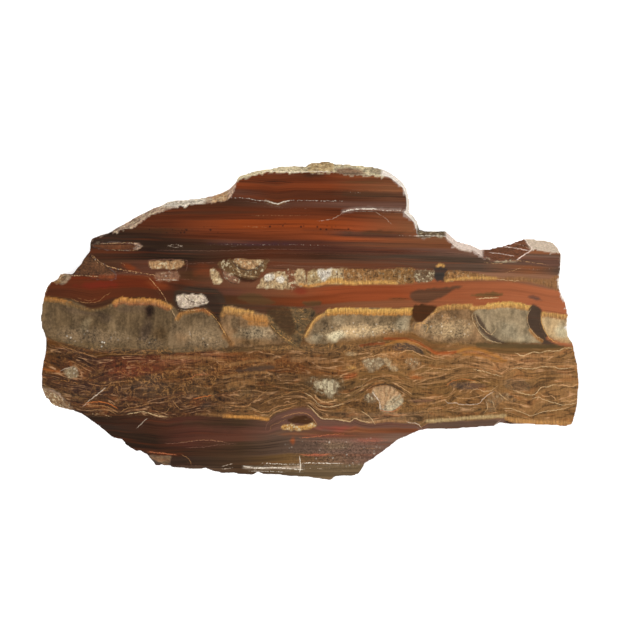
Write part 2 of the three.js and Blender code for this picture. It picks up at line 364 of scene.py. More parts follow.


# These tints follow mean colours of the photograph on a coarse grid, rounded to the palette above. Their rise
# to lighter, paler tints towards the right is partly the stone's own colour and partly painted light from the
# right-hand side.
BEDS = (
    Bed(TOP_LEVEL, "240 BRICK, 310 MAROON, 330 BRICK, 390 CLAY"),
    Bed(178, "230 BRICK, 320 BRICK, 390 CEDAR"),
    Bed(184, "230 RUSSET, 270 BRICK, 330 RUSSET, 390 CLAY"),
    Bed(190, "230 PLUM, 270 MAROON, 330 MAROON, 390 ROSEWOOD"),
    Bed(200, "190 MAROON, 230 LIVER, 310 PLUM, 395 MAUVE"),
    Bed(207, "200 MAROON, 310 GARNET, 350 GARNET, 400 CEDAR"),
    Bed(213, "200 GARNET, 270 BRICK, 350 BRICK, 400 CEDAR", Rock.JASPER, 2.5),
    Bed(219, "130 MAROON, 170 GARNET, 205 RUSSET, 240 EMBER, 330 EMBER, 360 SIENNA, 410 CLAY", Rock.SATIN,
        3.0),
    Bed(229, "120 LIVER, 160 COCOA, 200 BRICK, 320 RUSSET, 345 PLUM, 395 PLUM, 430 CLAY"),
    Bed(235, "110 PITCH, 160 LIVER, 200 GARNET, 270 BRICK, 340 SIENNA, 430 CLAY"),
    Bed(240, "110 COAL, 150 PITCH, 200 LIVER, 230 PLUM, 270 DAMSON, 320 DAMSON, 370 ROSEWOOD, 430 CEDAR"),
    Bed(245, "110 COAL, 160 PITCH, 250 LIVER, 330 DAMSON, 390 PLUM, 440 MAUVE, 520 CLAY"),
    Bed(249, "110 LIVER, 150 INK, 190 COAL, 270 MAROON, 320 DAMSON, 400 PLUM, 470 HEATHER"),
    Bed(254, "110 LIVER, 150 PITCH, 190 PITCH, 270 MAROON, 320 LIVER, 400 SLATE, 470 SLATE, 550 MAUVE"),
    Bed(262, "90 COCOA, 150 PLUM, 190 LIVER, 240 ROSEWOOD, 360 ROSEWOOD, 480 LEAD, 530 CLAY, 560 LEAD"),
    Bed(271, "60 HEATHER, 90 PLUM, 150 PLUM, 190 COCOA, 230 ROSEWOOD, 300 CEDAR, 440 SHELL, 560 SHELL",
        Rock.SATIN),
    Bed(281, "60 OXBLOOD, 100 OXBLOOD, 150 BRICK, 180 MAROON, 230 ROSEWOOD, 340 CLAY, 440 TERRACOTTA, 560 "
        "SHELL", Rock.SATIN),
    Bed(287, "45 GARNET, 150 OXBLOOD, 180 LIVER, 230 PLUM, 280 CEDAR, 330 SIENNA, 390 SIENNA, 470 "
        "TERRACOTTA, 570 SALMON", Rock.SATIN),
    Bed(294, "45 MAROON, 100 GARNET, 150 MAROON, 180 LIVER, 230 COCOA, 320 RUSSET, 360 SIENNA, 400 SIENNA, "
        "470 TERRACOTTA, 570 SALMON", Rock.SATIN),
    Bed(302, "45 COCOA, 160 COCOA, 230 PEAT, 300 PLUM, 350 CLAY, 480 TERRACOTTA, 560 SALMON", Rock.SATIN),
    Bed(312, "40 OLIVE, 200 SHADOW, 290 BARK, 400 HIDE, 580 DRIFT", Rock.SMOOTH, 3.0),
    Bed(346, "45 UMBER, 100 UMBER, 200 MOSS, 300 HIDE, 410 SADDLE, 520 HIDE, 580 OCHRE", Rock.SMOOTH),
    Bed(353, "45 UMBER, 90 LIVER, 120 MAROON, 170 GARNET, 230 CHESTNUT, 300 BARK, 430 SADDLE, 470 FAWN, "
        "580 TAN", Rock.TIGER),
    Bed(362, "45 CHESTNUT, 90 COCOA, 130 MAROON, 180 CHESTNUT, 300 CHESTNUT, 360 OCHRE, 430 SADDLE, 500 "
        "FAWN, 580 TAN", Rock.TIGER),
    Bed(374, "45 COCOA, 90 LIVER, 130 UMBER, 180 UMBER, 300 BARK, 360 SADDLE, 430 TAN, 580 OCHRE",
        Rock.TIGER),
    Bed(384, "45 COCOA, 100 LIVER, 180 UMBER, 240 UMBER, 340 HIDE, 430 SADDLE, 480 SADDLE, 580 TAN",
        Rock.TIGER),
    Bed(395, "45 MOSS, 100 COCOA, 200 COCOA, 270 BARK, 420 SADDLE, 480 OCHRE, 580 TAN", Rock.TIGER),
    Bed(407, "60 COCOA, 200 COCOA, 260 HIDE, 310 BARK, 400 DRIFT, 450 SADDLE, 580 OCHRE", Rock.TIGER),
    Bed(419, "100 PITCH, 150 LIVER, 190 DAMSON, 240 PEAT, 280 MAUVE, 400 MAUVE, 500 HEATHER"),
    Bed(427, "110 COAL, 150 LIVER, 190 DAMSON, 240 PLUM, 280 MAUVE, 330 MAUVE, 355 CLAY, 400 CEDAR"),
    Bed(434, "130 PITCH, 155 PITCH, 180 DAMSON, 240 PLUM, 280 LEAD, 340 CEDAR, 400 HEATHER"),
    Bed(441, "130 PITCH, 155 PITCH, 190 DAMSON, 240 PEAT, 290 LEAD, 340 HEATHER, 390 HEATHER"),
    Bed(448, "140 LIVER, 180 LIVER, 240 PEAT, 290 LEAD, 380 HEATHER"),
    Bed(456, "160 COAL, 190 COAL, 240 PEAT, 290 HIDE, 370 HEATHER"),
    Bed(466, "180 LEAD, 240 PEAT, 290 SMOKE, 370 HAZE"),
)


@dataclass(frozen=True)
class Patch(Traced):
    """A closed shape in the stone with its own rock and colour.

    Args:
        rock: the kind of rock inside.
        tint: its colour.
        trace: its corners, in order.
        soft: how soft its edge is, in pixels.
        share: how much of what lies below it hides.
        wave: how far its edge wanders, in pixels.
        round_off: True where its corners are rounded to a smooth curve.
    """

    rock: Rock
    tint: Tint
    trace: str
    soft: float = 1.0
    share: float = 1.0
    wave: float = 0.8
    round_off: bool = True


@dataclass(frozen=True)
class Fan(Traced):
    """Fibres that spread from one spot inside a closed shape.

    Args:
        tint: the colour between the fibres.
        foot: the spot that they spread from, in pixels.
        trace: the shape's corners, in order.
        turns: how many fibres there would be all the way round.
        share: how much of what lies below it hides.
    """

    tint: Tint
    foot: Point
    trace: str
    turns: int = 40
    share: float = 0.5


@dataclass(frozen=True)
class Cloud:
    """A soft patch of colour with no edge.

    Args:
        tint: its colour, or None where it only changes the grain.
        across: the pixel column of its middle.
        down: the pixel row of its middle.
        half_length: half its length, in pixels.
        half_height: half its height, in pixels.
        share: how much of what lies below it hides in its middle.
        turn: degrees that it is turned, clockwise in the photograph.
        rock: the kind of rock that it brings, if any.
    """

    tint: Tint | None
    across: float
    down: float
    half_length: float
    half_height: float
    share: float = 0.6
    turn: float = 0.0
    rock: Rock | None = None


@dataclass(frozen=True)
class Strip(Traced):
    """A band of rock along a line.

    Args:
        tint: its colour, or None where it only changes the grain.
        width: its width in pixels.
        trace: the pixels along its middle.
        share: how much of what lies below it hides.
        soft: how soft its edges are, in pixels.
        foot: the colour of its lower side, where that differs.
        rock: the kind of rock in it.
    """

    tint: Tint | None
    width: float
    trace: str
    share: float = 1.0
    soft: float = 1.2
    foot: Tint | None = None
    rock: Rock = Rock.FRINGE


@dataclass(frozen=True)
class Vein(Traced):
    """A hair-thin line in the stone, drawn sharp.

    Args:
        tint: its colour.
        width: its width in pixels.
        share: how much of what lies below it hides.
        trace: the pixels along it.
        broken: how much it breaks up into dots, from 0 to 1.
    """

    tint: Tint
    width: float
    share: float
    trace: str
    broken: float = 0.3


@dataclass(frozen=True)
class Rind(Traced):
    """A stretch of the broken rim with weathered rock on it. On the crown and right shoulder, where the rim
    faces up, the pale tints are partly painted light.

    Args:
        tint: the colour of the weathered rock, and of painted light in the pale rinds where the rim faces up.
        trace: corners of the region in which the rim carries it.
        share: how much of the rock below it hides.
        rock: the kind of rock.
        bite: how far it bites into the polished face, from 0 to 1.
    """

    tint: Tint
    trace: str
    share: float = 1.0
    rock: Rock = Rock.WEATHERED
    bite: float = 1.0


RINDS = tuple(Rind(*row) for row in (
    (Tint.HEATHER, "84,240 112,222 150,212 150,224 118,234 92,244"),
    (Tint.PUTTY, "112,236 130,214 168,196 200,186 240,176 240,206 190,214"),
    (Tint.SNOW, "160,206 168,192 205,190 205,210", 0.8),
    (Tint.BISCUIT, "212,205 212,188 232,182 232,200", 0.8),
    (Tint.BLUSH, "228,200 228,176 244,172 250,182 238,200"),
    # painted light: the ivory and white rinds on the crown and right shoulder are partly weathered rock and
    # partly light on the rim where it faces up.
    (Tint.IVORY, "236,186 240,166 300,158 366,158 384,168 384,182 340,177 300,175"),
    (Tint.TAN, "310,168 314,159 330,159 333,165 320,168", 0.8),
    (Tint.HAY, "306,182 308,165 312,156 330,156 334,163 333,180", 0.9),
    (Tint.CEDAR, "335,175 337,168 350,167 362,170 366,174 352,177", 0.8, Rock.SHARDS),
    (Tint.INK, "370,171.5 376,168.5 380,170 376,173", 0.9, Rock.JASPER),
    (Tint.FROST, "370,169 374,163 384,167 386,174 378,175"),
    (Tint.WHITE, "378,190 384,160 410,170 408,196", 1.0, Rock.PALE, 0.25),
    (Tint.WHITE, "398,216 398,180 424,180 436,240 412,240", 1.0, Rock.PALE, 0.25),
    (Tint.SMOKE, "416,238 418,226 450,226 446,238", 1.0, Rock.CRUST),
    (Tint.ROSE, "444,252 446,232 478,238 500,250 484,262", 1.0, Rock.PALE, 0.6),
    (Tint.CEDAR, "482,262 484,246 524,234 532,248 520,262", 1.0, Rock.SHARDS),
    (Tint.CHALK, "525,237 545,232 568,236 568,262 532,252", 1.0, Rock.PALE),
    (Tint.WHITE, "548,268 566,260 580,330 560,330", 1.0, Rock.PALE),
    (Tint.OCHRE, "34,300 34,270 62,270 60,300"),
    (Tint.DRIFT, "34,410 34,384 70,400 74,418"),
))

# The pods' tints run from darker on the left to paler on the right: partly the quartz's own colour, partly
# painted light from the right-hand side.
QUARTZ = tuple(Patch(*row) for row in (
    (Rock.QUARTZ, Tint.SMOKE, "34,300 46,300 70,300 82,305 96,310 108,308 118,301 150,300 168,303 176,309 "
        "182,318 176,330 176,349 146,349 85,347 60,340 46,335 34,330"),
    (Rock.QUARTZ, Tint.HAZE, "173,320 178,314 188,310 204,309 212,315 220,328 225,338 228,347 200,350 "
        "170,350"),
    (Rock.QUARTZ, Tint.DRIFT, "219,318 222,309 230,306 248,310 267,315 269,325 277,335 290,342 262,345 "
        "236,346 227,336 220,326"),
    (Rock.QUARTZ, Tint.MIST, "304,336 308,330 315,319 329,311 357,308 400,309 416,310 411,318 410,327 "
        "413,332 396,334 384,336 357,340 335,343 311,344"),
    (Rock.QUARTZ, Tint.DRIFT, "413,332 413,322 421,321 430,314 445,306 462,305 471,306 473,316 478,332 "
        "487,343 460,343 430,341"),
    (Rock.CLEAR, Tint.PEARL, "474,314 480,308 500,304 518,304 531,307 527,316 529,326 536,336 546,342 "
        "510,344 490,341 480,332"),
    (Rock.CLEAR, Tint.CREAM, "541,318 544,312 568,316 576,318 576,345 562,343 551,339 544,329"),
))

QUARTZ_CLOUDS = tuple(Cloud(*row) for row in (
    (None, 68, 341, 12, 6, 1.0, 20, Rock.GLITTER),
    (None, 104, 343, 14, 5, 1.0, 0, Rock.GLITTER),
    (None, 150, 343, 18, 9, 1.0, 0, Rock.GLITTER),
    (None, 205, 344, 20, 5, 0.8, 0, Rock.GLITTER),
    (None, 362, 330, 46, 10, 0.6, 0, Rock.GLITTER),
    (None, 448, 328, 28, 14, 0.5, 0, Rock.GLITTER),
    (Tint.HAZE, 95, 336, 48, 9, 0.75, 6, Rock.GRAINY),
    (Tint.MIST, 200, 335, 22, 10, 0.8, 0, Rock.GRAINY),
    (Tint.PEARL, 258, 333, 22, 8, 0.8, 8, Rock.GRAINY),
    (Tint.CREAM, 362, 331, 44, 7, 0.85, -4, Rock.GRAINY),
    (Tint.CREAM, 450, 329, 28, 12, 0.75, 0, Rock.GRAINY),
    (Tint.SLATE, 84, 312, 30, 4, 0.5, 8),
    (Tint.SLATE, 135, 309, 20, 5),
    (Tint.SMOKE, 196, 317, 14, 4),
    (Tint.SMOKE, 330, 318, 12, 5, 0.6, -30),
    (Tint.SMOKE, 58, 318, 10, 14, 0.7),
    (Tint.HAZE, 76, 320, 5, 12),
    (Tint.HAZE, 48, 322, 6, 14, 0.5),
    (Tint.VEIL, 86, 325, 5, 9, 0.7, 25),
    (Tint.MIST, 112, 324, 7, 10, 0.5),
    (Tint.MIST, 120, 334, 14, 9, 0.5),
    (Tint.SLATE, 105, 318, 8, 7, 0.5),
    (Tint.COAL, 149, 312, 5.5, 9, 1.0),
    (Tint.SLATE, 146, 330, 8, 12, 0.7, 20),
    (Tint.MOSS, 160, 334, 9, 9),
    (Tint.SMOKE, 170, 318, 6, 8, 0.5),
    (Tint.SMOKE, 136, 312, 9, 7, 0.5),
    (Tint.SMOKE, 52, 334, 10, 4, 0.6, 20),
    (Tint.OLIVE, 100, 344, 30, 3, 0.5),
    (Tint.SMOKE, 188, 322, 10, 7),
    (Tint.MIST, 204, 336, 12, 8, 0.5),
    (Tint.DRIFT, 182, 338, 9, 7, 0.5),
    (Tint.HAZE, 234, 323, 8, 7, 0.7),
    (Tint.PEARL, 256, 333, 12, 7, 0.7, -20),
    (Tint.VEIL, 239, 335, 8, 5, 0.5),
    (Tint.HIDE, 252, 342, 22, 3.5),
    (Tint.HAZE, 320, 322, 7, 8, 0.6, -30),
    (Tint.PEARL, 339, 320, 9, 6),
    (Tint.MIST, 366, 318, 10, 6, 0.4),
    (Tint.IVORY, 335, 336, 10, 5.5, 0.95, -12),
    (Tint.FROST, 316, 338, 7, 5),
    (Tint.SMOKE, 392, 317, 10, 6, 0.7),
    (Tint.FROST, 402, 325, 9, 7, 0.75, -30),
    (Tint.TAN, 392, 333, 16, 3.5),
    (Tint.PEARL, 366, 334, 14, 5, 0.5),
    (Tint.BISCUIT, 446, 318, 4, 7),
    (Tint.MIST, 459, 328, 10, 8),
    (Tint.HAZE, 436, 330, 10, 7, 0.5),
    (Tint.PEARL, 424, 326, 7, 7, 0.5),
    (Tint.FROST, 508, 330, 14, 9, 0.7),
    (Tint.VEIL, 504, 314, 14, 6),
    (Tint.PEARL, 520, 322, 6, 10),
    (Tint.FROST, 522, 338, 12, 4),
    (Tint.OLIVE, 512, 343, 24, 2.4, 0.8),
    (Tint.VEIL, 548, 322, 4, 8),
    (Tint.IVORY, 562, 331, 8, 8, 0.85),
    (Tint.BISCUIT, 562, 341, 12, 3, 0.8, 12),
))

FRINGES = tuple(Strip(*row) for row in (
    (Tint.HONEY, 4.6, "36,299 44,299.2 60,301 70,304", 0.95, 1.2, Tint.SADDLE),
    (Tint.SADDLE, 3.6, "67,303 74,305.8 80,308.3 90,310.4 100,309 110,305.8 116,303.4", 0.9, 1.2,
        Tint.OLIVE),
    (Tint.AMBER, 6.4, "115,303.4 119,301.6 124,300.6 130,301.8 140,301.6 152,302 160,304 168,307.5", 1.0,
        1.2, Tint.CLAY),
    (Tint.HONEY, 4.4, "177,319 182,314 190,311.5 198,310.4", 0.9, 1.2, Tint.SADDLE),
    (Tint.FLAME, 4.0, "196,310.6 204,310.6 209,314", 0.9, 1.2, Tint.SADDLE),
    (Tint.GOLD, 7.6, "221,314 224,310 232,311.4 242,313 250,314.4", 1.0, 1.2, Tint.OCHRE),
    (Tint.WHEAT, 7.0, "246,316 254,317.5 262,318.6 267,319.6", 1.0, 1.4, Tint.HONEY),
    (Tint.HONEY, 4.0, "250,323 258,324 266,325", 0.6, 1.6),
    (Tint.GOLD, 3.6, "306,336 310,329 315,321 322,316 330,313", 0.9, 1.2, Tint.TAN),
    (Tint.STRAW, 6.6, "328,312.6 340,311.4 350,311.2 362,311.8 375,312.2 390,312.2 404,311.8 414,311.4",
        1.0, 1.0, Tint.HONEY),
    (Tint.BISCUIT, 4.0, "418,327 424,321 432,314.5 438,310", 0.8, 1.6),
    (Tint.GOLD, 5.4, "436,311 442,308.4 452,307.4 470,306.4", 0.95, 1.2, Tint.OCHRE),
    (Tint.OCHRE, 5.0, "340,342 358,339.6 376,337.4 394,334.6 410,333", 0.6, 3.0),
    (Tint.OLIVE, 4.0, "52,339 84,347 120,349 170,349 222,348", 0.5, 4.0, None, Rock.TANGLE),
    (Tint.HIDE, 4.0, "425,341 445,343.4 482,343.4", 0.5, 4.0, None, Rock.TANGLE),
    (Tint.GOLD, 3.6, "471,308.4 480,307.4 490,307", 0.9),
    (Tint.STRAW, 5.8, "489,306.4 500,305 512,304.8 522,306.4 531,308.6", 1.0, 1.0, Tint.WHEAT),
    (Tint.GOLD, 5.0, "543,314.6 552,315.4 560,316.8 572,318", 0.95, 1.2, Tint.FAWN),
))

DARKS = tuple(Patch(*row) for row in (
    (Rock.JASPER, Tint.SHADOW, "175,292 184,288 198,285 212,287 221,292 226,302 222,311 219,322 214,316 "
        "206,309 190,309 180,312 174,303", 2.6, 0.95),
    (Rock.THREADS, Tint.OLIVE, "268,312 282,307 300,308 313,309 315,316 306,328 303,338 298,346 288,343 "
        "277,334 270,325", 2.0),
    (Rock.GLASSY, Tint.PEAT, "266,309 280,306 290,309 293,318 296,330 290,336 282,330 273,320", 3.0, 0.85),
    (Rock.GLASSY, Tint.COCOA, "416,305 436,306 430,315 421,322 414,320 412,312", 1.2),
    (Rock.GLASSY, Tint.SLATE, "532,305 541,309 541,320 545,332 556,345 547,346 536,337 528,326 528,315",
        1.2),
    (Rock.GLASSY, Tint.SLATE, "478,316 484,324 491,334 500,340 508,344 494,342 484,335 477,324 475,315",
        1.2, 0.9),
    (Rock.JASPER, Tint.WALNUT, "410,293 424,289 446,287 463,286 450,292 438,299 424,303 412,300", 2.0, 0.9),
    (Rock.JASPER, Tint.HIDE, "471,295 484,293 494,292 503,294 496,297 482,297.5", 1.4, 0.9),
    (Rock.JASPER, Tint.MAUVE, "528,296.5 536,296 543,301 536,300", 1.4, 0.9),
    (Rock.JASPER, Tint.MOSS, "302,302 312,301 321,301.5 319,305 308,306", 1.6, 0.85),
    (Rock.JASPER, Tint.MOSS, "238,297 252,293 268,298 275,303 262,305 246,302", 2.4, 0.75),
    (Rock.GLASSY, Tint.GRAPHITE, "434,269 440,267.6 447,269 447,280 435.4,280", 1.2),
    (Rock.JASPER, Tint.COAL, "205,293 216,297 221,308 219,322 213,315 207,306", 3.0, 0.8),
    (Rock.JASPER, Tint.LIVER, "74,298 84,302 97,303 108,299 118,298 110,304 98,309 86,307", 1.4, 0.7),
))

CREAMS = tuple(Patch(*row) for row in (
    (Rock.CRUST, Tint.BISCUIT, "149,262.5 154,260.6 168,261 180,260.4 184,263 182,267.5 172,269 158,268.6 "
        "150,266.4", 1.0, 0.95, 1.4),
    (Rock.SUGAR, Tint.SHELL, "156,273 176,272 178,280 158,280", 1.4, 0.8),
    (Rock.CRUST, Tint.HIDE, "218.6,264 235,260 266,260.4 266,266 258,277 246,281 230,276", 1.2, 0.95, 1.6),
    (Rock.SUGAR, Tint.BISCUIT, "234,259.8 248,259.5 262.4,260 257.5,266 251,269 243,267.4"),
    (Rock.CRUST, Tint.CREAM, "252,260 262,260 258,265 253,264", 1.4, 0.6),
    (Rock.GLASSY, Tint.LIVER, "227,273.3 235.5,275 246.6,278 257,278.8 253,282 242,281.6 234,278", 1.2,
        0.95, 0.4),
    (Rock.SUGAR, Tint.CREAM, "210.6,270 214.6,269.5 219,274 222,282 218,284.5 213,282"),
    (Rock.SUGAR, Tint.SHELL, "222.7,272 227,272 239.6,280 236,283 230,282 224.5,277.5"),
    (Rock.CRUST, Tint.CREAM, "257.5,287.6 262,278 268,273.5 285,271 288,281 293,289 275,288.5", 1.0, 1.0,
        0.8, False),
    (Rock.SUGAR, Tint.SNOW, "264,277 268,274 274.6,275 273,280 266,281", 1.2, 0.9),
    (Rock.SUGAR, Tint.SNOW, "275.6,277.6 281,276 284.6,279 283,283 277.4,282", 1.2, 0.9),
    (Rock.CRUST, Tint.CLAY, "286,271.4 294,270.6 296,283 295,289 290.6,289", 1.2, 0.9),
    (Rock.CRUST, Tint.CREAM, "295.6,271.6 300,269.4 305,271.6 305.4,285 296.6,284", 1.0, 0.95),
    (Rock.CRUST, Tint.HAY, "307.4,271 322,269 343,268.5 345,284 329,284 318,286 309,287.4 306.6,285", 1.0,
        1.0, 0.8, False),
    (Rock.SUGAR, Tint.SNOW, "317,270.6 321,269.6 326,270 332,269 330,276 324,280.6 319,277", 1.2, 0.9),
    (Rock.SALTED, Tint.CREAM, "332,270 343,269 350,270 348,277 334,277.6", 1.6, 0.8),
    (Rock.FRINGE, Tint.GOLD, "327,280 335,277.6 350,279 352,284 338,283 328,284", 1.4, 0.85),
    (Rock.LACE, Tint.OCHRE, "343,268.5 377,269.5 392,268.5 407,267.5 415,269 414,284 380,284 357,284.5 "
        "343,284", 1.0, 1.0, 0.8, False),
    (Rock.LACE, Tint.SADDLE, "378,272 392,269 412,269 413,282 396,283 384,280", 1.6, 0.7),
    (Rock.CRUST, Tint.HAZE, "415,270.5 426,269.5 434,271 434,277 430,282 416,281.5", 1.0, 0.95),
    (Rock.LACE, Tint.OCHRE, "447,271.5 459,271 478,273.5 492,277 496,279.5 460,280.5 445,281.5", 1.2, 0.9),
    (Rock.FRINGE, Tint.OCHRE, "496,278 520,277 545,279 561,276 561,291 548,287 530,282 508,281", 2.0, 0.7),
    (Rock.SUGAR, Tint.CHALK, "176.5,297 182,295 200,294.5 206,298 207,303 198,306 184,308 178,304"),
    (Rock.SUGAR, Tint.VEIL, "64.5,370 73,366.5 78.5,372 78,377 70.6,378 65.5,375", 1.6, 0.85),
    (Rock.CRUST, Tint.OLIVE, "306,380 322,377 342,380 341,392 330,398 316,391", 5.0, 0.6),
    (Rock.CRUST, Tint.IVORY, "323,381 330,380.5 336.5,382 337,388 334.5,393.5 329.5,396.5 325,391 "
        "322.5,386", 3.4, 0.9, 1.6),
    (Rock.CRUST, Tint.IVORY, "314.5,382.5 318.5,381 321.5,384 321,388.5 317.5,387.5", 2.0, 0.8, 1.2),
    (Rock.CRUST, Tint.PEARL, "363,360 383,359 384,364 376,369.5 371,372 366,368", 2.4, 0.8, 1.2),
    (Rock.CRUST, Tint.CREAM, "384,358.6 388.5,359.5 392,365 397,368.5 393.6,371 388,367.5", 2.0, 0.8, 1.2),
    (Rock.CRUST, Tint.BISCUIT, "406,359.5 413,358.6 420.4,363 417.7,367.5 413,369.3 408,365", 2.0, 0.85,
        1.2),
    (Rock.GRAINY, Tint.FROST, "372,390 378,387 384.2,386.4 393,388 399.5,393.5 403.6,400 398.7,407 "
        "390.3,411.6 380.3,410 378.8,402.2 372.7,394.5", 1.2, 0.95),
    (Rock.FRINGE, Tint.THREAD, "372,389.4 378,387 384.2,386.4 393,388 399.5,393.5 393,397 387,402 383,409 "
        "379.6,402 375,394", 2.0, 0.85),
    (Rock.CRUST, Tint.HAZE, "364,395 372,394 377,400 374,403 366,401", 1.6, 0.8),
    (Rock.LACE, Tint.DRIFT, "487,398 492,392 500,391 510,394 518,399 514,402 500,401 496,410 490,412 "
        "486,406", 3.0, 0.7, 1.6),
    (Rock.GLASSY, Tint.INK, "505,420.5 509,420 513,423 508,424", 1.4, 0.9),
    (Rock.DUSTY, Tint.LIVER, "89,252 96,258 108,266 123,271 104,274.5 72,275.5 80,265", 1.2, 0.9),
    (Rock.JASPER, Tint.MAROON, "93,246.5 100,243.4 133,242.8 142,246.3 134,250.3 112,249.8"),
    (Rock.GRAINY, Tint.BLUSH, "134,243.5 138,244 142.5,246.3 137,249 134,248.5 137,246.3", 0.8, 0.8),
    (Rock.BROKEN, Tint.PEARL, "58,274 70,275.5 68,281 62,284 57,281", 1.6, 0.7),
    (Rock.BROKEN, Tint.DRIFT, "150,455 163,456 171,457 168,465 158,462 150,458", 1.4, 0.8),
    (Rock.BROKEN, Tint.PUTTY, "41,388 52,390 60,395 70,409 50,410 38,395", 1.4, 0.9),
    (Rock.SHARDS, Tint.CLAY, "486,258 490,247 524,237 532,249 521,257 516,260 500,261", 1.4, 0.8),
    (Rock.SMOOTH, Tint.COCOA, "288,420.5 294,416.6 303,415.2 310.4,418.5 314,423 306,424 297,424", 1.2),
    (Rock.CRUST, Tint.GOLD, "281,427 288,424 298,426 306,425 312.4,423 316.5,425 312.4,428 302,430 292,430 "
        "285,429.4"),
    (Rock.GLASSY, Tint.SLATE, "229,371 241,369 255,366.4 271.6,365.2 275,368.5 261.4,371 245,372", 1.6,
        0.8),
    (Rock.THREADS, Tint.SLATE, "393.6,345.2 402.5,342.5 413.2,344.3 420.4,348.8 424,355 416,352.3 "
        "407,349.6 400.7,351 393.6,350.5", 1.2, 0.85),
    (Rock.THREADS, Tint.LEAD, "448,384 456,382 474,382.5 486,385 482,388 462,389", 2.4, 0.7),
    (Rock.THREADS, Tint.SMOKE, "504,381 514,379 527,382 530,390 518,391 506,388", 3.0, 0.7),
    (Rock.GLASSY, Tint.LEAD, "430,424.6 456,422.6 480,421 497,420 492,427 440,431 428,430", 1.4, 0.8),
))

FANS = (
    Fan(Tint.SADDLE, (383.5, 410), "372,389.4 378,387 384.2,386.4 393,388 399.5,393.5 402,400 392,405 "
        "383,409 379.6,402 375,394", 30, 0.6),
    Fan(Tint.CREAM, (383.5, 410), "374,390 384.2,387.4 393,389.4 398,394 383,404", 23, 0.4),
    Fan(Tint.SADDLE, (498, 416), "485,398 492,391 502,390 514,396 512,402 498,404 494,412 487,410", 26,
        0.5),
    Fan(Tint.UMBER, (328, 408), "310,384 322,380 338,382 340,390 330,398 318,391", 34, 0.35),
    Fan(Tint.HIDE, (413, 371), "404,358 412,356 421,362 417,368 408,366", 26, 0.6),
)

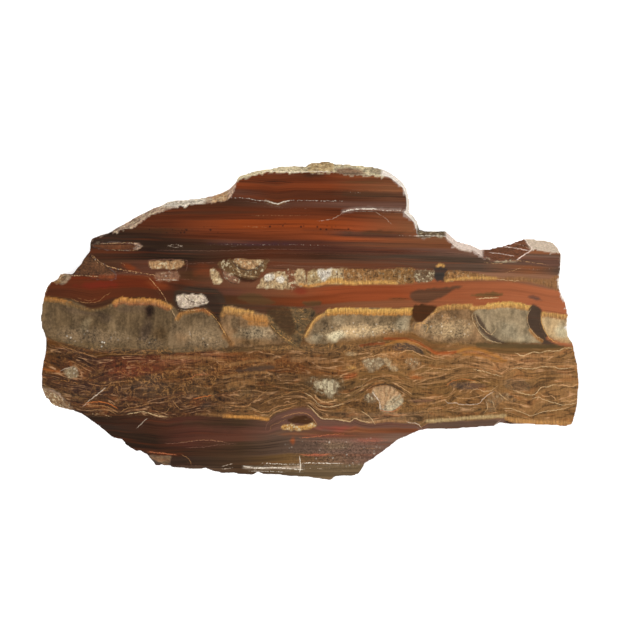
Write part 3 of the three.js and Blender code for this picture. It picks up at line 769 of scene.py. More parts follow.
CLOUDS = tuple(Cloud(*row) for row in (
    (None, 170, 384, 112, 24, 0.95, 0, Rock.TANGLE),
    (None, 262, 366, 60, 12, 0.6, 0, Rock.TANGLE),
    (None, 390, 363, 44, 12, 0.6, 0, Rock.TANGLE),
    (None, 392, 406, 56, 10, 0.8, 0, Rock.TANGLE),
    (None, 338, 453, 54, 18, 0.9, 0, Rock.DUSTY),
    (None, 130, 350, 110, 6, 1.0, 0, Rock.TANGLE),
    (None, 330, 348, 100, 7, 1.0, 0, Rock.TANGLE),
    (Tint.CLAY, 210, 357, 30, 4, 0.5, -2),
    (Tint.GRAPHITE, 153, 377, 12, 4, 0.35),
    (Tint.PEAT, 192, 386, 10, 6, 0.4),
    (Tint.OCHRE, 264, 366, 22, 3, 0.4),
    (Tint.OCHRE, 236, 387, 14, 3, 0.35),
    (Tint.TAN, 458, 349, 26, 5),
    (Tint.RUST, 476, 354, 18, 2.6, 0.4, 8),
    (Tint.PEAT, 530, 387, 22, 5, 0.4),
    (Tint.PEAT, 468, 387, 16, 4, 0.5),
    (Tint.SMOKE, 560, 372, 14, 3, 0.4),
    (Tint.MOSS, 165, 392, 50, 8, 0.35),
    (Tint.NUT, 330, 374, 30, 3, 0.5),
    (Tint.UMBER, 350, 405, 40, 4, 0.4),
    (Tint.VIOLET, 252, 244, 50, 2.4),
    (Tint.SLATE, 206, 405, 7, 4),
    (Tint.COAL, 98, 391, 7, 5, 0.5),
    (Tint.OLIVE, 206, 369, 14, 4, 0.5),
    (Tint.CREAM, 351, 354, 7, 2.5, 0.6, 0, Rock.GRAINY),
    (Tint.GOLD, 352, 367.5, 5, 2.4, 0.6, 0, Rock.GRAINY),
    (Tint.MAROON, 389, 415.5, 12, 3, 0.5),
    (Tint.EMBER, 130, 267.5, 10, 3, 0.7, 25),
    (Tint.LIVER, 313, 175, 12, 2.6, 0.8),
    (Tint.LIVER, 368, 174, 10, 2.5),
    (Tint.MAROON, 275, 181, 20, 1.6),
    (Tint.MOSS, 362, 182, 26, 1.8, 0.5),
    (Tint.PEAT, 365, 194, 34, 3.6, 0.55),
    (Tint.PEAT, 382, 232.5, 36, 3, 0.8),
    (Tint.MAROON, 322, 230, 26, 2, 0.5),
    (Tint.CHERRY, 100, 285, 26, 4, 0.5, -3),
    (Tint.RUSSET, 158, 285, 14, 5, 0.7, 10),
    (Tint.BRICK, 262, 264, 40, 3, 0.4),
    (Tint.RUSSET, 205, 270, 16, 8, 0.5),
    (Tint.CHERRY, 300, 291, 8, 5, 0.5),
    (Tint.SIENNA, 365, 294, 34, 4),
    (Tint.BARK, 398, 299, 10, 1.6),
    (Tint.TERRACOTTA, 446, 299, 14, 4, 0.5),
    (Tint.SALMON, 520, 298, 24, 5),
    (Tint.MAUVE, 306, 316, 10, 8, 0.35),
    (Tint.OLIVE, 290, 322, 10, 9),
    (Tint.BRICK, 140, 366, 40, 8, 0.55),
    (Tint.RUSSET, 126, 372, 22, 6, 0.4),
    (Tint.CLAY, 178, 362, 26, 5, 0.5),
    (Tint.CHESTNUT, 215, 371, 14, 6),
    (Tint.LIVER, 80, 386, 12, 5, 0.6, 10),
    (Tint.COAL, 76, 398, 10, 7, 0.5, 30),
    (Tint.SLATE, 150, 385, 22, 7, 0.4),
    (Tint.OLIVE, 240, 392, 20, 7, 0.45),
    (Tint.OLIVE, 204, 392, 14, 5, 0.4),
    (Tint.COCOA, 112, 350, 46, 4, 0.5),
    (Tint.MOSS, 232, 348, 20, 4),
    (Tint.BARK, 320, 368, 14, 4, 0.5),
    (Tint.RUST, 350, 376, 9, 3.4, 0.85, -14),
    (Tint.FLAME, 417, 377.5, 7, 2.2, 0.85),
    (Tint.RUST, 443, 353, 12, 3, 0.8),
    (Tint.TAN, 413, 384, 3.5, 2, 0.7),
    (Tint.MAUVE, 420, 401, 14, 2.4),
    (Tint.SMOKE, 465, 410, 20, 5, 0.4),
    (Tint.FAWN, 570, 395, 6, 4, 0.7),
    (Tint.OCHRE, 558, 357, 16, 4, 0.4),
    (Tint.CLAY, 532, 361, 14, 3, 0.5),
    (Tint.GARNET, 168, 454, 18, 1.5, 0.7),
    (Tint.PEAT, 200, 424, 26, 5, 0.4),
    (Tint.COAL, 228, 428, 22, 5, 0.35),
    (Tint.RUST, 293, 441, 3, 5, 0.75),
    (Tint.CLAY, 296, 434, 26, 2),
    (Tint.LEAD, 310, 446, 12, 5),
    (Tint.CORAL, 335, 428, 26, 2.4, 0.5),
    (Tint.CORAL, 328, 436, 30, 1.6, 0.7),
    (Tint.HAZE, 336, 446, 18, 5, 0.5),
    (Tint.CORAL, 340, 429, 14, 4, 0.5),
    (Tint.SLATE, 330, 436.5, 34, 1.4),
    (Tint.CORAL, 368, 440, 18, 3, 0.4),
    (Tint.CORAL, 316, 455, 14, 1.4, 0.8),
    (Tint.SLATE, 300, 452, 14, 2, 0.3),
    (Tint.PEAT, 236, 466, 12, 5, 0.5),
))

STRIPS = tuple(Strip(*row) for row in (
    (None, 6.0, "148,229 180,231.5 216,229.5", 0.9, 3.0, None, Rock.PEPPERED),
    (None, 6.0, "268,226 300,227.5 330,229 352,231", 0.9, 3.0, None, Rock.PEPPERED),
    (Tint.ROSE, 2.6, "343,211.5 353,209.5 364,208.6 376,208.8 388,209.8 400,210", 0.25, 3.0, None,
        Rock.GRAINY),
    (Tint.DRIFT, 2.2, "266,200.6 272,202.8 278,204 284.5,202", 0.6, 1.6, None, Rock.GRAINY),
    (Tint.GOLD, 3.4, "327,282 338,281.5 350,283 368,282.5 384,282 396,283", 0.95),
    (Tint.AMBER, 2.6, "300,284 308,286 318,284.5 328,282.5", 0.8),
    (Tint.GOLD, 2.6, "446,280.3 460,278.8 476,277.8 496,278.5", 0.85),
    (Tint.GOLD, 2.6, "437.5,266 440.4,264.6 443.6,266", 0.9),
    (Tint.OCHRE, 3.0, "231,364.6 243,362.6 253,361 268,360.5 274,362", 0.8),
    (Tint.OCHRE, 2.6, "224,376.8 236,375.3 251,373.3 267,372.2", 0.8),
    (Tint.OCHRE, 5.0, "228,386 240,382.5 254,381", 0.6),
    (Tint.FAWN, 5.0, "292,360 306,359 322,361 330,361", 0.5),
    (Tint.OCHRE, 4.0, "162,357.5 180,357 200,358 222,360", 0.6),
    (Tint.RUST, 2.4, "384.6,338.5 393.6,339 407,339.5 416.8,342 424.8,346.5 431,350 436,353.5 448,353.2 "
        "458,351.5", 0.9, 1.2, None, Rock.SMOOTH),
    (Tint.SIENNA, 2.2, "360,345.5 370,344.2 384,343.2", 0.7, 1.2, None, Rock.SMOOTH),
    (Tint.HONEY, 2.4, "386,345 393.6,342 402.5,341 411.4,342.5 418.6,345.5", 0.8, 1.2, None, Rock.SMOOTH),
    (Tint.HONEY, 3.0, "458,352 464,349.5 470,348.5 478,349.5 487,352 496,356 501,359", 0.9, 1.2, None,
        Rock.SMOOTH),
    (Tint.HONEY, 2.2, "462,354.5 474,354.5 486,357.5 495,361 506,361", 0.8, 1.2, None, Rock.SMOOTH),
    (Tint.SADDLE, 3.2, "361,373.5 374,374 385,372.6 397,374 406,379.5", 0.8, 1.2, None, Rock.SMOOTH),
    (Tint.AMBER, 3.0, "224,416 241,417 256,417.6 268,419.5", 0.9),
    (Tint.OCHRE, 2.0, "196,414 210,414.6 226,416", 0.7),
    (Tint.HAY, 3.4, "427,421 446,420 463,418.4 480,417.2 505,415.8", 0.95),
    (Tint.WHEAT, 4.6, "507,418.5 516,420.5 532,422 548,422.8 574,423.4", 0.95),
    (Tint.FAWN, 2.4, "375,422.4 385,421 396,421 407,421.5", 0.8),
    (Tint.OCHRE, 2.0, "324,417 336,418.2 350,420.4", 0.6),
    (Tint.OLIVE, 4.4, "478,345 492,345.4 509,345.2 525,346 548,346.6 562,346", 0.85, 1.2, None,
        Rock.GLASSY),
    (Tint.SALMON, 3.0, "548,338 556,342 564,344.6 574,344.8", 0.8, 1.2, None, Rock.SMOOTH),
    (Tint.OCHRE, 5.0, "224,336 229,340 232,344", 0.6),
    (Tint.HONEY, 3.0, "530,330 536,337 542,341", 0.7),
    (Tint.FLAME, 1.8, "42,368.5 50,370.5 60,371.5", 0.7, 1.2, None, Rock.SMOOTH),
    (Tint.CHALK, 2.2, "454,245 461,249 471,251.2", 0.6, 1.2, None, Rock.BROKEN),
    (Tint.IVORY, 3.4, "488,256.5 494,259.6 504,260.2 516,259.4", 0.75, 1.2, None, Rock.BROKEN),
    (Tint.CHALK, 2.4, "244,467 262,468 284,468 300,467.5", 0.5, 1.2, None, Rock.BROKEN),
))

# pixel columns of the dark gaps between the pale block's teeth
TEETH = (306.4, 314, 321.5, 327.6, 333, 338, 343.5, 349, 356, 361.5, 368, 374)

VEINS = tuple(Vein(*row) for row in (
    (Tint.SNOW, 1.0, 0.6, "262,172 275,171.2 290,172 318,171.4 334,172", 0.4),
    (Tint.ROSE, 1.2, 0.85, "525,238 529,244 532,249 524,255 517,259.4"),
    (Tint.ROSE, 1.0, 0.6, "500,246 514,247.5 530,251", 0.4),
    (Tint.ROSE, 1.0, 0.6, "490,252.4 500,253.4 514,256", 0.4),
    (Tint.BLUSH, 0.8, 0.5, "508,242 520,244 530,249", 0.5),
    (Tint.SNOW, 0.77, 0.47, "231,197.7 245,198 255,200 267,200.8", 0.6),
    (Tint.SNOW, 1.53, 0.56, "266,200.6 272,202.6 278,203.7 284.5,201.6 290,200.4", 0.4),
    (Tint.SNOW, 0.77, 0.43, "288,200.6 306,200.3 318,200.7 345,201", 0.7),
    (Tint.CHALK, 0.68, 0.26, "262,206 282,208 308,208.5", 0.9),
    (Tint.BISCUIT, 0.59, 0.26, "250,215.6 280,215.6 310,215.2", 0.7),
    (Tint.BISCUIT, 0.68, 0.34, "243,226.5 256,227 266,227.4", 0.6),
    (Tint.CHALK, 0.85, 0.39, "205,245 230,244.2 262,244.6 300,244.8 330,246", 0.9),
    (Tint.CHALK, 0.68, 0.3, "168,245.5 176,244.4 182,246 175,247.2 168,245.5", 0.5),
    (Tint.MAUVE, 0.68, 0.47, "157,250.2 200,250.8 229,250.4 264,249.2 310,249.6"),
    (Tint.PLUM, 0.68, 0.39, "230,254 270,253.2 320,254.4 380,253.8 430,252"),
    (Tint.INK, 0.85, 0.6, "150,226 166,229 182,230.4 200,229.6 216,229.4", 0.7),
    (Tint.INK, 0.77, 0.52, "148,231 164,232.6 182,233", 0.6),
    (Tint.INK, 1.02, 0.6, "270,224.6 282,226.6 296,227 312,228.4 330,228.4", 0.8),
    (Tint.INK, 0.85, 0.43, "330,228 344,231 352,231.6", 0.7),
    (Tint.INK, 0.85, 0.43, "262,182 276,181.6 292,182.6", 0.4),
    (Tint.INK, 0.68, 0.34, "300,190.5 330,191 362,190.2 390,191.4", 0.5),
    (Tint.SHADOW, 1.19, 0.43, "352,195.5 370,196.4 398,196"),
    (Tint.SNOW, 1.7, 0.69, "343,212 353,209.4 364,209 376,208.8", 0.5),
    (Tint.SNOW, 0.85, 0.52, "374,209 386,210.4 402,210.4", 0.6),
    (Tint.CHALK, 0.68, 0.3, "318,221 332,219 343,213", 0.5),
    (Tint.CHALK, 0.59, 0.3, "376,212.5 384,217 391,224", 0.5),
    (Tint.CHALK, 0.68, 0.43, "362,193 350,192.4", 0.8),
    (Tint.SNOW, 1.19, 0.65, "414,236 430,235.6 446,236.4", 0.5),
    (Tint.CHALK, 0.68, 0.34, "398,235.4 416,236", 0.8),
    (Tint.INK, 0.85, 0.39, "320,252 380,251.6 430,252.4 470,255"),
    (Tint.SHADOW, 1.19, 0.43, "400,258 440,259.4 476,261", 0.2),
    (Tint.BISCUIT, 1.0, 0.75, "93,256 102,263.5 116,268.7 136,272 156,275.6 178,279.4", 0.6),
    (Tint.BISCUIT, 0.8, 0.6, "90,253 97,262 109,267 122,269.4", 0.7),
    (Tint.BISCUIT, 0.6, 0.4, "112,262 122,263 126,268", 0.8),
    (Tint.CREAM, 1.0, 0.7, "57,274.5 71,275.5 86,275.8 100,276.8", 0.6),
    (Tint.CREAM, 0.7, 0.5, "98,276.6 114,274 126,272.6 140,273.4", 0.8),
    (Tint.BISCUIT, 0.68, 0.65, "149,278 160.5,291 168,304", 0.4),
    (Tint.CREAM, 0.85, 0.52, "170,308 174,314 177,321", 0.4),
    (Tint.CREAM, 0.7, 0.5, "96,243.8 116,243 133,243 142.5,246.3", 0.5),
    (Tint.CREAM, 0.7, 0.5, "142.5,246.3 135,250.2 112,249.8", 0.5),
    (Tint.MAUVE, 0.85, 0.6, "148,262 152,260 184,259.8 187,264 186,271"),
    (Tint.CHALK, 0.68, 0.43, "156,280.4 168,279.6 178,280.4", 0.4),
    (Tint.MAUVE, 0.68, 0.52, "187,264 200,263 214,262.4", 0.4),
    (Tint.MAUVE, 0.68, 0.43, "178,279.2 192,279.4", 0.4),
    (Tint.FAWN, 0.77, 0.43, "72,299 82,302.4 97,301.8 104,296.6 110,293", 0.4),
    (Tint.FAWN, 0.59, 0.34, "78,298 88,300.6 96,299", 0.5),
    (Tint.COAL, 1.5, 0.8, "232,261.5 239,268 248.6,270.4 257,268 263,262.6", 0.2),
    (Tint.CREAM, 1.4, 0.6, "235.5,268.7 240,272.5 246,275.6 256,276.6", 0.5),
    (Tint.MAROON, 0.77, 0.6, "260,277 267,268.4 272,262.6 284,262"),
    (Tint.MAUVE, 0.77, 0.52, "270,266 286,265 300,266.4 330,267 344,266.6", 0.4),
    (Tint.COAL, 1.3, 0.7, "221,268 224,276 230,282 238,284"),
    (Tint.COAL, 1.2, 0.8, "176,296 176.5,303 179,309 190,309.6 206,306"),
    (Tint.CREAM, 0.77, 0.52, "178,309.6 190,310.8 206,308", 0.6),
    (Tint.COAL, 1.2, 0.8, "184,296 190,301 200,303 208,301.4"),
    (Tint.INK, 1.36, 0.52, "343,268 360,268.4 377,267.8", 0.7),
    (Tint.MAROON, 0.85, 0.52, "377,267.4 400,266 416,267.4"),
    (Tint.CHALK, 1.02, 0.52, "527,269 540,269.6 559,268", 0.9),
    (Tint.INK, 0.85, 0.43, "530,266 546,265.6 560,266", 0.7),
    (Tint.CREAM, 1.1, 0.73, "477,299 486,298 498,297.9"),
    (Tint.INK, 0.68, 0.52, "392,298.4 409,298.6", 0.2),
    (Tint.BISCUIT, 0.68, 0.52, "484,262.4 500,263.4 516,260.8 536,263 548,265", 0.5),
    (Tint.MAUVE, 0.77, 0.52, "484,268 500,270 520,268.4 536,270.6", 0.4),
    (Tint.BISCUIT, 0.68, 0.43, "505,273 516,269.6 524,266", 0.5),
    (Tint.CREAM, 0.85, 0.6, "497,279.4 510,280.4 520,281", 0.5),
    (Tint.GOLD, 0.77, 0.52, "205,309.6 213,315.6 220,325 226,336"),
    (Tint.UMBER, 1.02, 0.6, "207,308 215,315 222,326 228,337 232,344", 0.2),
    (Tint.GOLD, 0.77, 0.52, "270,324 278,333 288,340 296,346", 0.5),
    (Tint.GOLD, 0.77, 0.65, "305,336 309,329 315,319.6 322,314"),
    (Tint.INK, 0.85, 0.43, "316,315 326,309.4 336,307.4", 0.4),
    (Tint.OLIVE, 0.77, 0.6, "296,318 300,314 307,316 309,322 304,327 297,324 300,320"),
    (Tint.CREAM, 0.59, 0.43, "298,319 303,315.6 308,320", 0.7),
    (Tint.GOLD, 0.77, 0.6, "415,331 416,324 422,323 428,326 426,332", 0.4),
    (Tint.GOLD, 0.77, 0.56, "423,322 430,315.4 438,310.4", 0.4),
    (Tint.UMBER, 0.77, 0.52, "446,309 449,316 447,324"),
    (Tint.CREAM, 0.77, 0.65, "472,313.6 473,321 477.8,330 483.6,336.6 491,341 501,343.4", 0.2),
    (Tint.CREAM, 0.68, 0.65, "476,313.6 477,321 483.6,329 491,334.6 496,329"),
    (Tint.CREAM, 0.68, 0.52, "531,309 527.6,315.5 528.6,325 535,334.6 543,340"),
    (Tint.GOLD, 0.77, 0.69, "543,313 541.4,319 544,329 550.6,339 557,342.6"),
    (Tint.INK, 0.85, 0.65, "57.3,348 66.5,350.5 75.7,353.6 86,356.2 97,359.2", 0.15),
    (Tint.INK, 0.85, 0.6, "61.4,344 70.6,346.7 80.8,350.6 93,354.6 99,357", 0.15),
    (Tint.FAWN, 0.77, 0.52, "59.4,346 68.6,348.4 78.8,352 89,355.2 96,357.4", 0.2),
    (Tint.INK, 0.77, 0.65, "104,356.4 118,356.1 132,356.1 146,356.6", 0.15),
    (Tint.TAN, 0.68, 0.52, "106,354.2 122,354.2 144,354.4", 0.2),
    (Tint.INK, 0.77, 0.52, "151,357.4 156.3,354.8 164,353.4 176,353.6"),
    (Tint.INK, 1.02, 0.43, "190,352.4 224,352 236,347.2 246,343.6", 0.4),
    (Tint.TAN, 0.77, 0.6, "273.7,349.2 282,348.4 291,348.2", 0.2),
    (Tint.INK, 0.77, 0.52, "273.7,351 291,350.2", 0.2),
    (Tint.TAN, 0.77, 0.52, "305,351 312,353 318,354"),
    (Tint.FAWN, 0.59, 0.39, "65.5,362.5 71.6,361.5 80.8,365.6 87,369"),
    (Tint.FAWN, 0.59, 0.34, "72,365 80,368.6 86,371.6"),
    (Tint.FAWN, 0.59, 0.34, "79,362 88,366 95,370"),
    (Tint.CHALK, 0.68, 0.43, "60.4,370.7 71.6,366.4"),
    (Tint.INK, 1.1, 0.65, "41,373.6 50,375.3 60,376.4 70.6,379 81,381.6 93,382.4 101,385", 0.15),
    (Tint.HONEY, 0.77, 0.52, "60,380 70,381.6 78,383.6", 0.6),
    (Tint.FAWN, 0.77, 0.52, "88,383.4 103,386 113.5,382.4 124,381.4 133,380.6", 0.4),
    (Tint.CHALK, 1.2, 0.6, "91,399 98,394 105.3,388"),
    (Tint.CHALK, 0.68, 0.39, "83,406.4 91,399"),
    (Tint.FLAME, 1.19, 0.69, "86,403 97,401.8 107.3,403 117.6,408.6", 0.2),
    (Tint.INK, 0.68, 0.52, "88,404.8 99,403.6 108,405 117,410.4", 0.2),
    (Tint.TAN, 0.85, 0.65, "89,406.6 101,405.4 111,408.5 117.6,412.6", 0.2),
    (Tint.TAN, 0.77, 0.52, "90,410.4 105,409.4 115.5,413.6", 0.2),
    (Tint.CREAM, 0.8, 0.55, "90,414 101,414 111,416.6", 0.8),
    (Tint.INK, 0.94, 0.65, "118.6,415 126.7,410.4 137,408.8 147,405.6 156,404.4", 0.15),
    (Tint.TAN, 0.77, 0.56, "120,413 127,408.4 137,407 147,403.8 154,403"),
    (Tint.TAN, 0.68, 0.52, "126.7,402.4 129,406.4", 0.2),
    (Tint.CREAM, 1.19, 0.69, "128,414 142,411.8 150,413.6 157.3,415.8 167,417", 0.4),
    (Tint.TAN, 0.68, 0.56, "155.3,410.5 160.4,413.6 166.5,411.6 170.6,406.4"),
    (Tint.TAN, 0.68, 0.56, "172.7,400.3 177.8,407.4 183,409.6"),
    (Tint.TAN, 0.59, 0.43, "178,398 183,404 190,406", 0.4),
    (Tint.CHALK, 0.8, 0.4, "137,428 142,423 147,418.6"),
    (Tint.TAN, 0.51, 0.34, "110.4,353.2 117.6,345.7", 0.4),
    (Tint.SALMON, 0.85, 0.47, "190,379 196,375 208.4,374.3", 0.4),
    (Tint.FLAME, 1.19, 0.65, "194,398.8 202.2,396.8 212,395.7"),
    (Tint.INK, 0.85, 0.43, "190,405 200,401 212,400"),
    (Tint.FAWN, 0.85, 0.69, "229.8,405.3 239,406.4 248.2,405.8 251.4,403", 0.15),
    (Tint.TAN, 0.68, 0.6, "253.3,402.3 259.4,396.2 267.6,390", 0.2),
    (Tint.TAN, 0.68, 0.6, "261.4,404.4 270.6,399.3 281.8,396 290,392.6 302,390.6 309,390", 0.2),
    (Tint.FAWN, 0.77, 0.69, "253,410 261,412.4 268.6,411.3 276.7,406.6 288,404.6 297,402.4", 0.15),
    (Tint.FAWN, 0.77, 0.69, "268,417.6 277,411.2 287,408.4 296,405.4", 0.15),
    (Tint.CREAM, 1.0, 0.69, "305.3,393.2 312.4,397.6 317.6,403.3 323,406.4 330.6,406.8 344.4,403.3", 0.15),
    (Tint.BISCUIT, 1.9, 0.7, "314.5,394.5 318.4,399.6 325.2,402.4 336.7,399.6"),
    (Tint.INK, 0.77, 0.52, "312,397.6 318,403.4 324,407 334,407 345,405", 0.2),
    (Tint.TAN, 0.68, 0.6, "306,399 313,403 318.6,409.4 325,410.4", 0.2),
    (Tint.CREAM, 0.94, 0.69, "308.4,405.4 315.5,412.2 321.6,418.3 333,419.2 350,421.7", 0.2),
    (Tint.FAWN, 0.77, 0.69, "281.8,417.7 292,414 303.3,412.8 311.4,416.4 316.8,424", 0.15),
    (Tint.TAN, 0.59, 0.43, "270,430 272,425 279,422.6 286,419", 0.4),
    (Tint.MAUVE, 0.77, 0.6, "266,430 267,424 272,420"),
    (Tint.BISCUIT, 1.02, 0.73, "391.8,352.6 398.9,353.2 407.9,350.2 414,351.6 422,356.3", 0.2),
    (Tint.BISCUIT, 1.02, 0.69, "363.2,358.4 370.4,356.8 380.2,354.2 388,353.8", 0.25),
    (Tint.INK, 0.94, 0.52, "360,349 372,346.6 384,345.4"),
    (Tint.FAWN, 0.68, 0.52, "360,352 372,349.4 386,347.6", 0.4),
    (Tint.TAN, 0.68, 0.56, "372,377.6 385,375.8 396,377 404,382", 0.4),
    (Tint.INK, 1.02, 0.69, "353.4,396 363.2,390.9 374,386 384.6,384 393.6,386.3 402.5,391.4 411.4,397.4",
        0.15),
    (Tint.BISCUIT, 0.94, 0.73, "393,382.6 402.5,387.8 411.4,394.3", 0.2),
    (Tint.TAN, 0.68, 0.52, "350,394 362,388 372,383 384,380.6", 0.4),
    (Tint.CREAM, 1.19, 0.52, "357,387.4 365,385", 0.5),
    (Tint.CREAM, 1.02, 0.43, "368,400 376,399", 0.6),
    (Tint.ROSE, 0.9, 0.6, "372.7,393 376,397 379,401.5 380.4,409", 0.4),
    (Tint.SALMON, 1.2, 0.65, "380.4,410 388,411.6 395,410.6 401,406"),
    (Tint.COAL, 1.6, 0.6, "368,389 376,385.6 386,384.4 395,386 403,390.6", 0.2),
    (Tint.PLUM, 1.1, 0.6, "414,401.6 424,400.8 436,400"),
    (Tint.FAWN, 0.68, 0.52, "416,399 428,398.4 436,397.6"),
    (Tint.CHALK, 0.59, 0.56, "445.4,400.5 449,403.2 456,402.8 460.5,404.4 477.5,404 484,398 493.5,391.4",
        0.2),
    (Tint.BISCUIT, 0.85, 0.6, "455,397 465,398.6 476,397 485,394", 0.2),
    (Tint.FLAME, 0.85, 0.6, "446,386 450,382.4 456,380 465,379 475,381"),
    (Tint.GOLD, 0.77, 0.47, "470,382.6 480,382 492,383", 0.5),
    (Tint.CREAM, 0.68, 0.52, "470,393 473,389.6 479,389.4 484,391.6 492,390 497,386"),
    (Tint.BISCUIT, 0.85, 0.65, "425,371 435.7,368 448,369.4 461,366.8"),
    (Tint.CREAM, 0.85, 0.65, "473.6,369.5 484,371.5 494.3,374.6 502,376.4", 0.2),
    (Tint.BISCUIT, 0.68, 0.52, "476,366.8 492,369.6 501,373"),
    (Tint.CREAM, 1.1, 0.73, "515.8,353 522,355.8 527.8,354 534,351.8 540,352.8", 0.2),
    (Tint.CREAM, 1.02, 0.65, "540.5,352.6 548.5,350.8 558,350.8 564.5,348.2 574,348"),
    (Tint.INK, 0.77, 0.43, "552.5,362.4 564,362.6 576,362", 0.2),
    (Tint.BISCUIT, 0.68, 0.52, "514,363.4 530,363 548,362", 0.4),
    (Tint.CREAM, 0.85, 0.69, "510,369 520,368 532,369 540.5,366.9 554,366.8 561,369 572,367.5", 0.2),
    (Tint.CREAM, 1.02, 0.69, "514,390.4 523.8,393.6 531.8,395.2 536.6,392.8 541.3,387.6 549,386.4 556,384",
        0.2),
    (Tint.BISCUIT, 0.85, 0.65, "541.3,394.6 546,396.8 551.7,395.6 556,400", 0.2),
    (Tint.CREAM, 0.85, 0.65, "532.6,398.8 538,397.2 546,400.2 555,403 563.7,405 577,402.8", 0.2),
    (Tint.BISCUIT, 1.1, 0.65, "561.3,401 570,401 578,398.8", 0.2),
    (Tint.BISCUIT, 1.36, 0.69, "562,385 571.6,386.4 579,383.4", 0.2),
    (Tint.CREAM, 0.77, 0.65, "503.9,408.5 511,408.6 523.8,413 531.8,415.7 543,411.8 554,410.5 568,407.6",
        0.2),
    (Tint.CREAM, 0.94, 0.52, "492,400 494.3,406.6 495,411", 0.4),
    (Tint.CREAM, 0.77, 0.52, "486,401 487.6,408 484,413", 0.4),
    (Tint.CREAM, 1.19, 0.6, "499,393 503,396.6 507,399.6"),
    (Tint.FAWN, 0.77, 0.56, "484,414.6 492,413.6 497,412", 0.2),
    (Tint.CREAM, 0.85, 0.69, "340,419.2 349.8,421.4 355.2,418.2 360.5,421 370.4,422.4", 0.2),
    (Tint.CREAM, 0.77, 0.65, "362,411.6 368.6,415.7 375,423.6", 0.2),
    (Tint.FAWN, 0.68, 0.52, "385,413 396,415.6 410,414", 0.4),
    (Tint.CHALK, 0.77, 0.52, "407,422.2 417,423.6 421.3,428"),
    (Tint.TAN, 0.68, 0.47, "436,412 446,409.6 452,411 462,410", 0.4),
    (Tint.CHALK, 0.77, 0.43, "500,420.6 496,424 493,427"),
    (Tint.MAUVE, 0.77, 0.69, "165,443.4 180,443 194,441 210,440.4 228,442.6"),
    (Tint.FAWN, 0.59, 0.43, "180,442.6 196,440.4 212,440.2 226,442", 0.5),
    (Tint.MAUVE, 0.68, 0.52, "186,447.6 204,447 220,444.6 236,444"),
    (Tint.SALMON, 1.19, 0.65, "148,452 160,453 176,455"),
    (Tint.FAWN, 0.68, 0.52, "182,455 189,459 191,464"),
    (Tint.MAUVE, 0.59, 0.43, "166,465.4 184,465.6 204,466", 0.5),
    (Tint.INK, 0.85, 0.3, "180,448 220,450 260,452 290,452.4", 0.5),
    (Tint.INK, 0.85, 0.3, "184,436 220,434.6 250,432", 0.5),
    (Tint.SNOW, 1.02, 0.69, "262,463 280,464 300,465", 0.6),
    (Tint.SNOW, 1.19, 0.73, "243,466 256,468 272,467.6 290,468.6 304,470", 0.5),
    (Tint.SNOW, 0.77, 0.6, "250,471 268,471.4 284,472", 0.6),
    (Tint.SNOW, 0.85, 0.69, "299.6,457 300.6,464 300,471.6"),
    (Tint.SNOW, 0.94, 0.69, "302,463 318,463.2 342,463.4", 0.5),
    (Tint.CHALK, 0.68, 0.52, "304,468.4 320,468.8 330,468", 0.7),
    (Tint.CHALK, 0.77, 0.6, "222,466.6 227,465 232,464", 0.5),
    (Tint.CHALK, 0.77, 0.6, "222,469 228,468.4 232,468", 0.5),
    (Tint.CHALK, 0.68, 0.43, "318,447.6 332,448 350,447.4", 0.9),
    (Tint.CHALK, 0.68, 0.39, "322,442 340,441.4 354,443", 0.9),
    (Tint.CHALK, 0.68, 0.34, "320,457.6 340,457.4 356,458", 0.9),
    (Tint.SALMON, 0.85, 0.6, "300,438 316,436.6 330,434.6 344,434"),
    (Tint.SALMON, 1.02, 0.65, "300,454.6 312,455 330,454"),
    (Tint.SALMON, 0.68, 0.43, "360,440 374,441 388,440", 0.5),
    (Tint.FAWN, 0.59, 0.43, "358,449 372,448.4 380,449", 0.6),
)) + tuple(
    Vein(Tint.PEAT, 1.1, 0.6, f"{tooth},270 {tooth - 0.6},274.5 {tooth - 0.2},279.5", 0.35) for tooth in TEETH
)


def noise(across: Array, down: Array, seed: int) -> Array:
    """Smooth noise from -1 to 1 on the plane, the same in each run.

    Args:
        across: place along x, in cells of the noise.
        down: place along y, in cells of the noise.
        seed: picks one pattern of many.

    Returns:
        One value for each place.
    """

    def corner(column: Array, row: Array) -> Array:
        """The value at a corner of the grid."""
        wild = np.sin(column * 127.1 + row * 311.7 + seed * 74.7) * 43758.5453
        return 2 * (wild - np.floor(wild)) - 1

    column, row = np.floor(across), np.floor(down)
    s, t = across - column, down - row
    s, t = s * s * (3 - 2 * s), t * t * (3 - 2 * t)
    upper = corner(column, row) * (1 - s) + corner(column + 1, row) * s
    lower = corner(column, row + 1) * (1 - s) + corner(column + 1, row + 1) * s
    return upper * (1 - t) + lower * t


@dataclass(frozen=True)
class Ripple:
    """Smooth noise that lets a drawn edge wander.

    Args:
        strength: how far it moves the edge.
        length: the length of its cells, in pixels.
        height: the height of its cells, in pixels.
        seed: picks one pattern of many.
    """

    strength: float
    length: float
    height: float
    seed: int

    def at(self, across: Array, down: Array) -> Array:
        """How far the edge wanders at each pixel."""
        return self.strength * noise(across / self.length, down / self.height, self.seed)


